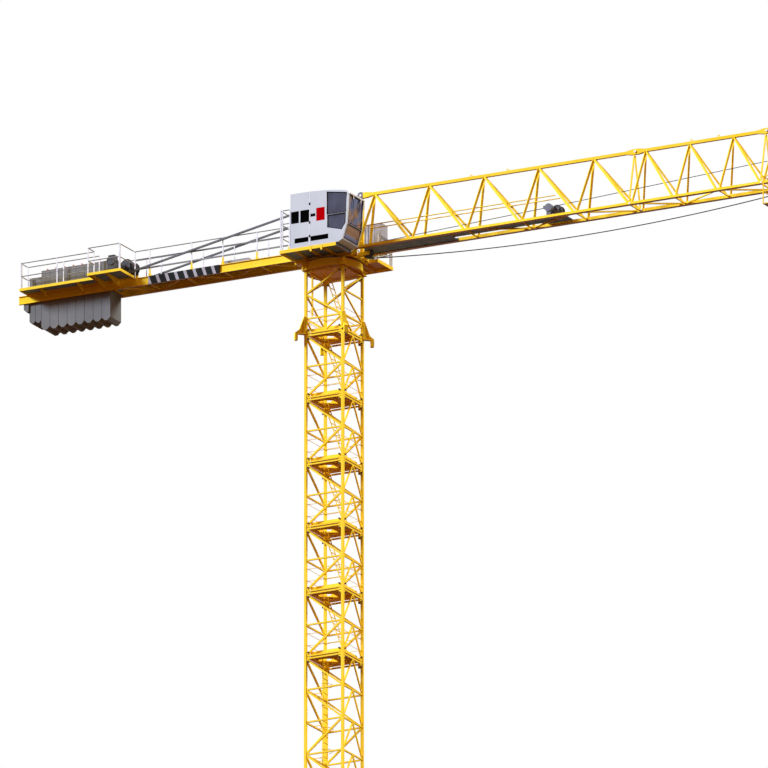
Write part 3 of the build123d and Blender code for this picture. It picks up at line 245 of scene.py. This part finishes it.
MATERIALS = {
    # sprayed structural paint: warm yellow, with painted shade of deep orange brown on faces turned down
    "yellow_paint": structural_paint(),
    # bar grating, dipped and walked dull: dark grey, brown where it is seen from below
    "walkway_steel": coated("steel_grating_pressed_and_dipped", "#646E74", "#7A848A", patch=0.4, rough=0.7),
    # dipped zinc: pale lavender grey with dull blotches
    "galvanised_tube": coated(
        "steel_tube_hot_dip_galvanised", "#CBCFDC", "#DEE2ED", patch=0.15, rough=0.5, metal=0.1),
    # greased dark steel of wheels, pins and stays
    "bare_steel": coated("steel_forged_and_greased", "#4E4F56", "#5E5F66", patch=0.2, rough=0.5, metal=0.2),
    # laid strand, greased: nearly black; the lay is drawn in 75 mm bands, coarser than the real one, to show
    "wire_rope": banded(
        "steel_wire_rope_laid_and_greased", "#38393C", "#505155",
        direction=(8, 0, 12), pitch=0.6, rough=0.55),
    # coil-coated sheet: cold white-grey, smooth
    "cab_white": coated("steel_sheet_coil_coated_white", "#C4D0DE", "#CAD6E4", patch=0.6, rough=0.35),
    # machine enamel: mid lavender grey
    "machine_grey": coated("cast_housing_grey_enamel", "#9DA0AE", "#ADB0BE", patch=0.3, rough=0.45),
    # oiled iron: charcoal with a soft sheen
    "drum_black": coated("cast_iron_oiled_black", "#3A3C44", "#4A4C55", patch=0.1, rough=0.5),
    # cast concrete: cold grey, cloudy, with faint upright run marks
    "concrete": coated(
        "concrete_cast_in_steel_mould", "#74787C", "#7E8286", patch=0.9, rough=0.9, stretch=(1, 1, 0.6)),
    # tinted glass: dark and smooth, with painted reflections of blue sky and brown ground in the front panes
    "tinted_glass": glass(),
}
# blackened bolts: small dark accents on every joint
BOLT_BLACK = coated("bolt_steel_black_oxide", "#1B1C1F", "#27282C", patch=0.1, rough=0.5)
# extruded seal round the panes: matt black line
RUBBER = coated("rubber_seal_extruded_black", "#17181B", "#202125", patch=0.2, rough=0.8)
# anodised strip and roof bar of the cab: the brightest lines on it
BRIGHT_STRIP = coated("aluminium_strip_anodised_bright", "#E2EEFF", "#ECF4FF", patch=0.5, rough=0.35)
# cut film on the cab side: flat black and flat red without a shine
DECOR_BLACK = coated("vinyl_film_cut_black", "#050505", "#080809", patch=0.5, rough=0.7, gloss=0.0)
DECOR_RED = coated("vinyl_film_cut_red", "#B00006", "#BA000C", patch=0.5, rough=0.7, gloss=0.0)
# printed sheet: slanted black bars on grey
SLANTED_BARS = banded(
    "aluminium_panel_printed_slanted_bars", "#060607", "#A9ABB8",
    direction=(1, 0, 0.35), pitch=0.42, rough=0.7, share=0.68)
# rails: dull grey, darker than their posts as painted shade of their undersides
RAIL_SHADE_GREY = coated("steel_tube_grey_painted_shade", "#7F838B", "#9296A0", patch=0.3, rough=0.6)
# castings of the jib eye and the trolley winch: slate grey
CAST_GREY = coated("cast_steel_slate_enamel", "#666B7E", "#747A8E", patch=0.2, rough=0.5)
# painted lifting loops: small orange accents
LIFT_ORANGE = coated("steel_loop_painted_orange", "#E07A3A", "#EC8A48", patch=0.2, rough=0.5)

# Nodes whose finish differs from the rest of their slot
OWN_FINISH = {
    "sign_panel": SLANTED_BARS,
    "mast_platforms": MATERIALS["yellow_paint"],
    "travel_winch": CAST_GREY,
}
for part in frame["record"]["subparts"]:
    mesh = frame["nodes"][part["node"]].data
    mesh.materials.clear()
    mesh.materials.append(OWN_FINISH.get(part["node"], MATERIALS[part["material_slot"]]))


# Shapes

class Shape:
    """Vertices and faces gathered from simple bodies, in metres."""

    def __init__(self):
        self.verts = []
        self.faces = []

    def loft(self, rings, closed=False):
        """Skin over rings of points; the ends are capped, or joined when closed."""
        first = len(self.verts)
        count = len(rings[0])
        for ring in rings:
            self.verts += [tuple(p) for p in ring]
        spans = len(rings) if closed else len(rings) - 1
        for r in range(spans):
            here = first + r * count
            there = first + (r + 1) % len(rings) * count
            for k in range(count):
                n = (k + 1) % count
                self.faces.append((here + k, here + n, there + n, there + k))
        if not closed:
            self.faces.append(tuple(range(first + count - 1, first - 1, -1)))
            last = first + (len(rings) - 1) * count
            self.faces.append(tuple(range(last, last + count)))
        return self

    def box(self, x0, x1, y0, y1, z0, z1):
        """Block between two values on each axis."""
        ring = [(x0, y0), (x1, y0), (x1, y1), (x0, y1)]
        return self.loft([[(x, y, z) for x, y in ring] for z in (z0, z1)])

    def tube(self, path, radius, sides=6, closed=False):
        """Round bar along a list of points."""
        upright = 0.9
        points = [Vector(p) for p in path]
        count = len(points)
        rings = []
        for k, point in enumerate(points):
            before = points[k - 1] if closed or k else point
            after = points[(k + 1) % count] if closed or k < count - 1 else point
            along = (after - before).normalized()
            guide = Vector((0, 0, 1)) if abs(along.z) < upright else Vector((0, 1, 0))
            side = guide.cross(along).normalized()
            over = along.cross(side)
            turns = [2 * pi * (s + 0.5) / sides for s in range(sides)]
            rings.append([point + radius * (cos(t) * side + sin(t) * over) for t in turns])
        return self.loft(rings, closed)

    def ring(self, centre, radius, thick, corners=24):
        """Torus round a line along Y."""
        x, y, z = centre
        turns = [2 * pi * k / corners for k in range(corners)]
        path = [(x + radius * cos(t), y, z + radius * sin(t)) for t in turns]
        return self.tube(path, thick, closed=True)


def mesh_object(name, shape, material):
    """Plain mesh object from a shape."""
    mesh = bpy.data.meshes.new(name)
    mesh.from_pydata(shape.verts, [], shape.faces)
    mesh.materials.append(material)
    obj = bpy.data.objects.new(name, mesh)
    bpy.context.scene.collection.objects.link(obj)
    return obj


def piece(name, shape, body, slot, material=None):
    """Scene piece from a shape, riding a CAD body."""
    obj = mesh_object(name, shape, material or MATERIALS[slot])
    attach(obj, body)
    return obj


def repeated(name, template, points, body, slot, material=None):
    """Copies of a template at points, set out by Geometry Nodes and kept as a plain mesh."""
    material = material or MATERIALS[slot]
    tree = bpy.data.node_groups.new(name, "GeometryNodeTree")
    sockets = tree.interface
    sockets.new_socket("Points", in_out="INPUT", socket_type="NodeSocketGeometry")
    sockets.new_socket("Template", in_out="INPUT", socket_type="NodeSocketObject")
    sockets.new_socket("Material", in_out="INPUT", socket_type="NodeSocketMaterial")
    sockets.new_socket("Copies", in_out="OUTPUT", socket_type="NodeSocketGeometry")
    given = add(tree, "NodeGroupInput").outputs
    shape = add(tree, "GeometryNodeObjectInfo", {"Object": given["Template"]}).outputs["Geometry"]
    copies = add(tree, "GeometryNodeInstanceOnPoints", {"Points": given["Points"], "Instance": shape})
    solid = add(tree, "GeometryNodeRealizeInstances", {"Geometry": copies.outputs[0]}).outputs[0]
    done = add(tree, "GeometryNodeSetMaterial", {"Geometry": solid, "Material": given["Material"]})
    add(tree, "NodeGroupOutput", {"Copies": done.outputs[0]})

    source = mesh_object(name + "_template", template, material)
    spots = Shape()
    spots.verts = points
    host = mesh_object(name + "_points", spots, material)
    modifier = host.modifiers.new("copies", "NODES")
    modifier.node_group = tree
    values = {"Template": source, "Material": material}
    for item in sockets.items_tree:
        if item.name in values:
            modifier[item.identifier] = values[item.name]
    seen = host.evaluated_get(bpy.context.evaluated_depsgraph_get())
    mesh = bpy.data.meshes.new_from_object(seen)
    bpy.data.objects.remove(host)
    bpy.data.objects.remove(source)
    obj = bpy.data.objects.new(name, mesh)
    bpy.context.scene.collection.objects.link(obj)
    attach(obj, body)


def steps(first, last, count):
    """Even values from first to last."""
    return [first + (last - first) * k / (count - 1) for k in range(count)]


# Mast

def mast_bolts():
    """Dark bolts above and below every section joint, on both outer faces of each leg."""
    from_joint = 0.188
    half_length, radius = 0.045, 0.037
    across = LEG - 0.136
    outward = LEG_FACE - 0.03
    heights = [joint + d for joint in JOINTS for d in (-from_joint, from_joint)]
    head = Shape().tube([(0, -half_length, 0), (0, half_length, 0)], radius)
    spots = [(a * across, b * outward, z) for a, b in CORNERS for z in heights]
    repeated("mast_bolts_front_and_rear", head, spots, "mast", "bare_steel", BOLT_BLACK)
    head = Shape().tube([(-half_length, 0, 0), (half_length, 0, 0)], radius)
    spots = [(a * outward, b * across, z) for a, b in CORNERS for z in heights]
    repeated("mast_bolts_sides", head, spots, "mast", "bare_steel", BOLT_BLACK)


def mast_handrails():
    """Two thin rails round every rest platform."""
    radius = 0.012
    rail_heights = (0.5, 1.0)
    inset = LEG - 0.075
    square = Shape()
    for s in SIDES:
        square.tube([(-LEG, s * inset, 0), (LEG, s * inset, 0)], radius)
        square.tube([(s * inset, -LEG, 0), (s * inset, LEG, 0)], radius)
    spots = [(0, 0, joint + d) for joint in JOINTS[1:] for d in rail_heights]
    repeated("mast_platform_handrails", square, spots, "mast", "yellow_paint")


def ladder_cage():
    """Hoops round the base ladder."""
    hoop_radius, bar_radius = 0.33, 0.012
    ladder_x = -0.4
    lowest, highest = 2.5, JOINTS[-1] - 0.1
    half_turn = steps(-pi / 2, pi / 2, 9)
    hoop = Shape().tube([(hoop_radius * cos(t), hoop_radius * sin(t), 0) for t in half_turn], bar_radius)
    spots = [(ladder_x, 0, z) for z in steps(lowest, highest, 10)]
    repeated("ladder_cage_hoops", hoop, spots, "mast", "yellow_paint")


def platform_joists():
    """Bars under the rest platforms: two slanted and two straight."""
    slant_end, slant_side, slant_rise, slant_radius = 0.72, 0.3, 0.42, 0.028
    straight_end, straight_side, straight_radius = 0.78, 0.42, 0.03
    over_joint = 0.005
    bars = Shape()
    for s in SIDES:
        y = s * slant_side
        bars.tube([(-slant_end, y - slant_rise, 0), (slant_end, y + slant_rise, 0)], slant_radius)
        y = s * straight_side
        bars.tube([(-straight_end, y, 0), (straight_end, y, 0)], straight_radius)
    spots = [(0, 0, joint + over_joint) for joint in JOINTS[1:]]
    repeated("mast_platform_joists", bars, spots, "mast", "yellow_paint")


def drum_pads():
    """Flange and upright ribs of the slewing drum's four corner pads, and the closed hatch under the drum."""
    pad = LEG_SIZE * 0.85
    flange_thick = 0.025
    rib_depth, rib_half, rib_side, rib_height = 0.05, 0.011, 0.07, 0.28
    reach = pad + rib_depth
    shape = Shape().box(-reach, reach, -reach, reach, -flange_thick, 0)
    for face in (-reach, pad):
        for shift in (-rib_side, rib_side):
            shape.box(face, face + rib_depth, shift - rib_half, shift + rib_half, 0, rib_height)
            shape.box(shift - rib_half, shift + rib_half, face, face + rib_depth, 0, rib_height)
    spots = [(a * LEG, b * LEG, MAST_TOP) for a, b in CORNERS]
    repeated("drum_pad_ribs", shape, spots, "mast", "yellow_paint")

    hatch_radius, hatch_drop, hatch_sunk = 0.52, 0.01, 0.002
    axis = [(0, 0, MAST_TOP - hatch_drop), (0, 0, MAST_TOP + hatch_sunk)]
    piece("drum_hatch", Shape().tube(axis, hatch_radius, 32), "mast", "yellow_paint")


# Slewing deck and cab

def cab_front_x(height):
    """X of the cab's front face at a height over the mast top."""
    for (z0, x0), (z1, x1) in zip(CAB_FRONT, CAB_FRONT[1:]):
        if height <= z1:
            return x0 + (x1 - x0) * (height - z0) / (z1 - z0)


def cab_seals():
    """Seals round the panes, two wipers and the dark catches across the seam."""
    side_seal, front_seal, wiper = 0.018, 0.02, 0.012
    near_edge, far_edge = CAB_SIDE + 0.11, CAB_HIGH[1] - 0.07
    wiper_sides, wiper_heights, wiper_out = (-1.62, -1.12), (2.6, 2.3, 2.0), 0.02
    catch_heights, catch_height, catch_lap, catch_out = (0.95, 1.52, 2.3), 0.1, 0.01, 0.012
    seal = Shape()
    for pane in (UPPER_PANE, LOWER_PANE):
        seal.tube([(x, CAB_SIDE, MAST_TOP + z) for x, z in pane], side_seal, closed=True)
    for low, high in FRONT_PANES:
        corners = [(near_edge, low), (far_edge, low), (far_edge, high), (near_edge, high)]
        seal.tube([(cab_front_x(z), y, MAST_TOP + z) for y, z in corners], front_seal, closed=True)
    for y in wiper_sides:
        seal.tube([(cab_front_x(z) + wiper_out, y, MAST_TOP + z) for z in wiper_heights], wiper)
    for z in catch_heights:
        foot = MAST_TOP + z
        ends = (SEAM_REAR - catch_lap, SEAM_FRONT + catch_lap)
        seal.box(*ends, CAB_SIDE - catch_out, CAB_SIDE, foot, foot + catch_height)
    piece("cab_seals_and_wipers", seal, "upperworks", "tinted_glass", RUBBER)


def cab_bright_parts():
    """Bright strip in the seam, roof bar on two brackets, and the handle at the far corner."""
    play, proud, depth, shortfall = 0.004, 0.004, 0.04, 0.02
    bright = Shape()
    strip_x = (SEAM_REAR + play, SEAM_FRONT - play)
    strip_z = (CAB_LOW[2] + shortfall, CAB_HIGH[2] - shortfall)
    bright.box(*strip_x, CAB_SIDE - proud, CAB_SIDE + depth, *strip_z)

    bar_x, bar_z, bar_radius, bar_inset = 1.745, MAST_TOP + 2.56, 0.04, 0.03
    bright.tube([(bar_x, CAB_SIDE + bar_inset, bar_z), (bar_x, CAB_HIGH[1], bar_z)], bar_radius, 8)
    bracket_x, bracket_half, bracket_foot = (1.735, 1.755), 0.025, MAST_TOP + 2.4
    for y in (-1.64, -1.01):
        bright.box(*bracket_x, y - bracket_half, y + bracket_half, bracket_foot, bar_z)
    handle_x, handle_y, handle_radius = 1.75, CAB_HIGH[1] - 0.02, 0.014
    bright.tube([(handle_x, handle_y, MAST_TOP + z) for z in (2.5, 2.42, 2.2)], handle_radius)
    piece("cab_bright_strip_and_roof_bar", bright, "upperworks", "cab_white", BRIGHT_STRIP)


def cab_decor():
    """Plain film blocks on the cab side."""
    film = (CAB_SIDE - 0.003, CAB_SIDE + 0.001)
    black = Shape()
    for x0, x1, z0, z1 in BLACK_BLOCKS:
        black.box(x0, x1, *film, MAST_TOP + z0, MAST_TOP + z1)
    x0, x1, z0, z1 = RED_BLOCK
    red = Shape().box(x0, x1, *film, MAST_TOP + z0, MAST_TOP + z1)
    piece("cab_decor_black", black, "upperworks", "cab_white", DECOR_BLACK)
    piece("cab_decor_red", red, "upperworks", "cab_white", DECOR_RED)


def under_gratings():
    """Dark grating under the near platform and the outrigged walkways; a thin dark grey sheet covers the
    platform's front edge.
    """
    thick = 0.012
    sheet = Shape()
    low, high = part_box("near_platform")
    margin, top = 0.03, high[2] - 0.032
    sheet.box(low[0] + margin, high[0] - margin, low[1] + margin, high[1] - margin, top - thick, top)
    edge_thick, edge_inset = 0.006, 0.004
    # thin dark grey sheet over the platform's front edge
    sheet.box(high[0], high[0] + edge_thick, low[1] + edge_inset, high[1], low[2], high[2])
    girder_side = -0.63
    for name in ("side_walkway", "winch_deck"):
        low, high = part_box(name)
        margin, top = 0.02, high[2] - 0.037
        sheet.box(low[0] + margin, high[0] - margin, low[1] + margin, girder_side, top - thick, top)
    piece("platform_gratings", sheet, "upperworks", "walkway_steel")


def platform_tabs():
    """Small lugs under the near platform's edge."""
    half_width, out, inward, drop, rise = 0.04, 0.012, 0.03, 0.09, 0.12
    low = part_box("near_platform")[0]
    lug = Shape().box(-half_width, half_width, -out, inward, -drop, rise)
    spots = [(x, low[1], low[2]) for x in (0.02, 0.5)]
    repeated("platform_tabs", lug, spots, "upperworks", "yellow_paint")


def head_post():
    """Slim post on the rear face of the head section."""
    rear, front = -0.87, -0.81
    near, far = -0.31, -0.25
    foot, top = MAST_TOP - 1.75, MAST_TOP - 0.01
    piece("mast_head_post", Shape().box(rear, front, near, far, foot, top), "mast", "yellow_paint")


def cabinet_doors():
    """Dark upright door gaps on the near face of the far cabinet, over its stand."""
    stand, under_roof = 0.48, 0.03
    proud, sunk = 0.004, 0.002
    low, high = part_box("switch_cabinet")
    middle = (low[0] + high[0]) / 2
    gaps = Shape()
    for x, half in ((low[0] + 0.06, 0.02), (low[0] + 0.21, 0.02), (middle + 0.1, 0.008)):
        gaps.box(x - half, x + half, low[1] - proud, low[1] + sunk, low[2] + stand, high[2] - under_roof)
    piece("cabinet_door_gaps", gaps, "upperworks", "machine_grey", MATERIALS["bare_steel"])


# Jib

def jib_handrails():
    """Two thin rails over the jib's inner walkway."""
    end, radius = 10.1, 0.023
    level = LOWER_CHORD + 0.96
    rails = Shape()
    for y in (-0.22, 0.22):
        rails.tube([(JIB_FLOOR_START, y, level), (end, y, level)], radius)
    piece("jib_handrails", rails, "upperworks", "yellow_paint")


def jib_root_floor():
    """Dark sheets near the jib's root: one closes the floor between the chords, partly floor and partly
    painted shade under the walkway; an upright one over the far lower chord is painted shade.
    """
    end, thick = 5.4, 0.012
    edge = JIB_HALF - CHORD
    under = LOWER_CHORD - 0.03
    # partly painted shade: dark floor sheet under the walkway between the chords
    dark = Shape().box(JIB_FLOOR_START, end, -edge, edge, under, under + thick)
    # painted shade: upright dark sheet over the far lower chord, where the walkway shades it
    dark.box(JIB_FLOOR_START, end, edge - thick, edge, LOWER_CHORD - CHORD, LOWER_CHORD + CHORD)
    piece("jib_root_floor", dark, "upperworks", "walkway_steel")


def jib_pins():
    """Pins at the jib joints, the cheek of the jib eye and the lifting eyes along the top chord."""
    lower_half, lower_radius = 0.09, 0.045
    upper_half, upper_radius = 0.1, 0.05
    root_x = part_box("jib_root_section")[0][0] + 0.12
    pins = Shape()
    for x in [root_x] + JIB_JOINTS:
        for y in (-JIB_HALF, JIB_HALF):
            pins.tube([(x, y - lower_half, LOWER_CHORD), (x, y + lower_half, LOWER_CHORD)], lower_radius, 8)
    for x in JIB_JOINTS:
        pins.tube([(x, -upper_half, UPPER_CHORD), (x, upper_half, UPPER_CHORD)], upper_radius, 10)
    eye_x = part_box("jib_eye")[1][0] - 0.105
    eye_half, cheek_half, cheek_radius = 0.08, 0.06, 0.15
    pins.tube([(eye_x, -eye_half, UPPER_CHORD), (eye_x, eye_half, UPPER_CHORD)], upper_radius, 10)
    piece("jib_pins", pins, "upperworks", "galvanised_tube")
    axis = [(eye_x, -cheek_half, UPPER_CHORD), (eye_x, cheek_half, UPPER_CHORD)]
    cheek = Shape().tube(axis, cheek_radius, 24)
    piece("jib_eye_cheek", cheek, "upperworks", "machine_grey", CAST_GREY)

    foot, shoulder, height, bar_radius = 0.06, 0.03, 0.08, 0.02
    path = [(-foot, 0, 0), (-shoulder, 0, height), (shoulder, 0, height), (foot, 0, 0)]
    spots = [(x, 0, UPPER_CHORD + CHORD) for x in JIB_EYES]
    repeated("jib_lifting_eyes", Shape().tube(path, bar_radius), spots, "upperworks", "yellow_paint")


def hoist_rope():
    """Hoist rope under the jib as one smooth line, sagging on its way out to the trolley."""
    cad_radius = 0.013
    # a little thicker than the CAD rope, so that it shows as a full line
    drawn_radius = 0.021
    start = 1.56
    low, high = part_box("hoist_rope_front")
    level = high[2] - cad_radius
    dip = level - low[2] - cad_radius
    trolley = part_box("trolley_frame")[0][0] + 0.27
    path = []
    for share in steps(0, 1, 41):
        path.append((start + (trolley - start) * share, 0, level - 4 * dip * share * (1 - share)))
    path.append((high[0], 0, level))
    rope = piece("hoist_rope_smooth", Shape().tube(path, drawn_radius, 8), "upperworks", "wire_rope")
    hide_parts("hoist_rope_front")
    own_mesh(rope)


def drum_windings():
    """Rope laid side by side on both winch drums."""
    inset, under_rim, rope_radius = 0.11, 0.045, 0.015
    for name, count in (("hoist_drum", 20), ("travel_drum", 10)):
        low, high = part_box(name)
        x, z = (low[0] + high[0]) / 2, (low[2] + high[2]) / 2
        turn = Shape().ring((0, 0, 0), (high[2] - low[2]) / 2 - under_rim, rope_radius)
        spots = [(x, y, z) for y in steps(low[1] + inset, high[1] - inset, count)]
        repeated(name + "_windings", turn, spots, name, "wire_rope")


# Counter-jib

def post_sockets():
    """Yellow sockets of the girder railings: a square foot that narrows to a sleeve."""
    foot, sleeve = 0.045, 0.028
    rings = [(foot, 0), (foot, 0.1), (sleeve, 0.12), (sleeve, 0.32)]
    square = [(-1, -1), (1, -1), (1, 1), (-1, 1)]
    socket = Shape().loft([[(a * r, b * r, z) for a, b in square] for r, z in rings])
    spots = [(x, s * GIRDER_RAIL_SIDE, GIRDER_TOP) for x in GIRDER_POSTS for s in SIDES]
    repeated("railing_sockets", socket, spots, "upperworks", "yellow_paint")


def handrails():
    """Round tubes over the railings' rails, coloured darker than their posts as painted shade."""
    rail_half, radius = 0.013, 0.021
    tubes = Shape()
    for start, end, base, (height, shares) in RAIL_RUNS:
        for share in shares:
            z = base + (height - rail_half) * share
            tubes.tube([(*start, z), (*end, z)], radius, 8)
    # painted shade: the rails are coloured darker than their posts
    piece("handrail_tubes", tubes, "upperworks", "galvanised_tube", RAIL_SHADE_GREY)


def girder_stiffener():
    """Upright plate on the near girder's web beside the winch deck."""
    rear, front = -8.68, -8.6
    out, inward, over_foot, over_top = 0.03, 0.06, 0.01, 0.08
    low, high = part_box("counter_jib_girders")
    plate = Shape().box(rear, front, low[1] - out, low[1] + inward, low[2] + over_foot, high[2] + over_top)
    piece("girder_stiffener", plate, "upperworks", "yellow_paint")


def slab_loops():
    """Orange lifting loops, two on each large slab."""
    first_face, slab_pitch, slab_count = -9.925, 0.394, 8
    half_width, sunk, height, radius = 0.06, 0.02, 0.09, 0.022
    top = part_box("ballast_slabs")[1][2]
    corners = [(-half_width, -sunk), (-half_width, height), (half_width, height), (half_width, -sunk)]
    loop = Shape().tube([(0, y, z) for y, z in corners], radius)
    middles = [first_face - slab_pitch * (k + 0.5) for k in range(slab_count)]
    spots = [(x, y, top) for x in middles for y in (-0.27, 0.27)]
    repeated("slab_lifting_loops", loop, spots, "upperworks", "bare_steel", LIFT_ORANGE)


def service_box():
    """Long tool box on the counter-jib walkway."""
    rear, front = -4.95, -3.7
    near, far = -0.32, 0.05
    height = 0.2
    shape = Shape().box(rear, front, near, far, GIRDER_TOP, GIRDER_TOP + height)
    piece("service_box", shape, "upperworks", "machine_grey")


mast_bolts()
mast_handrails()
ladder_cage()
platform_joists()
drum_pads()
cab_seals()
cab_bright_parts()
cab_decor()
under_gratings()
platform_tabs()
head_post()
cabinet_doors()
jib_handrails()
jib_root_floor()
jib_pins()
hoist_rope()
drum_windings()
post_sockets()
handrails()
girder_stiffener()
slab_loops()
service_box()


# Light, floor and camera

def in_view(tree):
    """1 for rays from the camera and for those mirrored or let through by what it sees, else 0."""
    ray = add(tree, "ShaderNodeLightPath").outputs
    seen = ray["Is Camera Ray"]
    for kind in ("Is Glossy Ray", "Is Transmission Ray"):
        seen = add(tree, "ShaderNodeMath", {0: seen, 1: ray[kind]}, operation="MAXIMUM").outputs[0]
    return seen


def studio():
    """White surround for the eye; light comes soft from above, dim and warm from below."""
    scene = bpy.context.scene
    scene.view_settings.view_transform = "Standard"
    world = bpy.data.worlds.new("studio")
    scene.world = world
    world.use_nodes = True
    tree = world.node_tree
    tree.nodes.clear()
    way = add(tree, "ShaderNodeTexCoord").outputs["Generated"]
    height = add(tree, "ShaderNodeSeparateXYZ", {"Vector": way}).outputs["Z"]
    level = add(tree, "ShaderNodeMapRange", {"Value": height, "From Min": -1.0, "From Max": 1.0}).outputs[0]
    sky = ramp(tree, level, "#6C3E22", "#E4B48C", 0.5, 0.9)
    light = add(tree, "ShaderNodeBackground", {"Color": sky, "Strength": 0.95})
    white = add(tree, "ShaderNodeBackground", {"Color": (1, 1, 1, 1)})
    mix = add(tree, "ShaderNodeMixShader", {0: in_view(tree), 1: light.outputs[0], 2: white.outputs[0]})
    add(tree, "ShaderNodeOutputWorld", {"Surface": mix.outputs[0]})


def sun(name, toward, strength, angle, colour):
    """Distant light shining along a direction."""
    lamp = bpy.data.lights.new(name, "SUN")
    lamp.energy = strength
    lamp.angle = angle
    lamp.color = colour
    obj = bpy.data.objects.new(name, lamp)
    obj.rotation_euler = Vector(toward).to_track_quat("-Z", "Y").to_euler()
    bpy.context.scene.collection.objects.link(obj)


def floor():
    """Pale disc under the crane, small enough to stay out of the main view; it throws little light back."""
    radius, corners, drop = 8, 64, 0.01
    turns = [2 * pi * k / corners for k in range(corners)]
    disc = Shape()
    disc.verts = [(radius * cos(t), radius * sin(t), -drop) for t in turns]
    disc.faces = [tuple(range(corners))]
    material, tree, shader = new_material("studio_floor_matt_white", rough=0.9)
    tone = blend(tree, in_view(tree), rgb("#4A2A12"), rgb("#E8E8E8"))
    tree.links.new(tone, shader.inputs["Base Color"])
    mesh_object("floor", disc, material)


def camera():
    """Long lens from below the near side of the jib, nearly without perspective."""
    target = Vector((1.766, 0.931, 22.351))
    back = Vector((0.445, -0.844, -0.299)).normalized()
    distance = 1440.0
    view_width = 30.72
    data = bpy.data.cameras.new("main")
    data.sensor_width = 36.0
    data.lens = data.sensor_width * distance / view_width
    data.clip_end = 5000.0
    obj = bpy.data.objects.new("main", data)
    obj.location = target + distance * back
    obj.rotation_euler = (-back).to_track_quat("-Z", "Y").to_euler()
    bpy.context.scene.collection.objects.link(obj)
    bpy.context.scene.camera = obj


studio()
sun("key", toward=(0.68, 0.56, -0.52), strength=4.5, angle=0.3, colour=(0.95, 1.0, 1.09))
sun("side", toward=(-0.75, -0.42, -0.5), strength=2.7, angle=0.4, colour=(1.0, 0.97, 0.9))
floor()
camera()
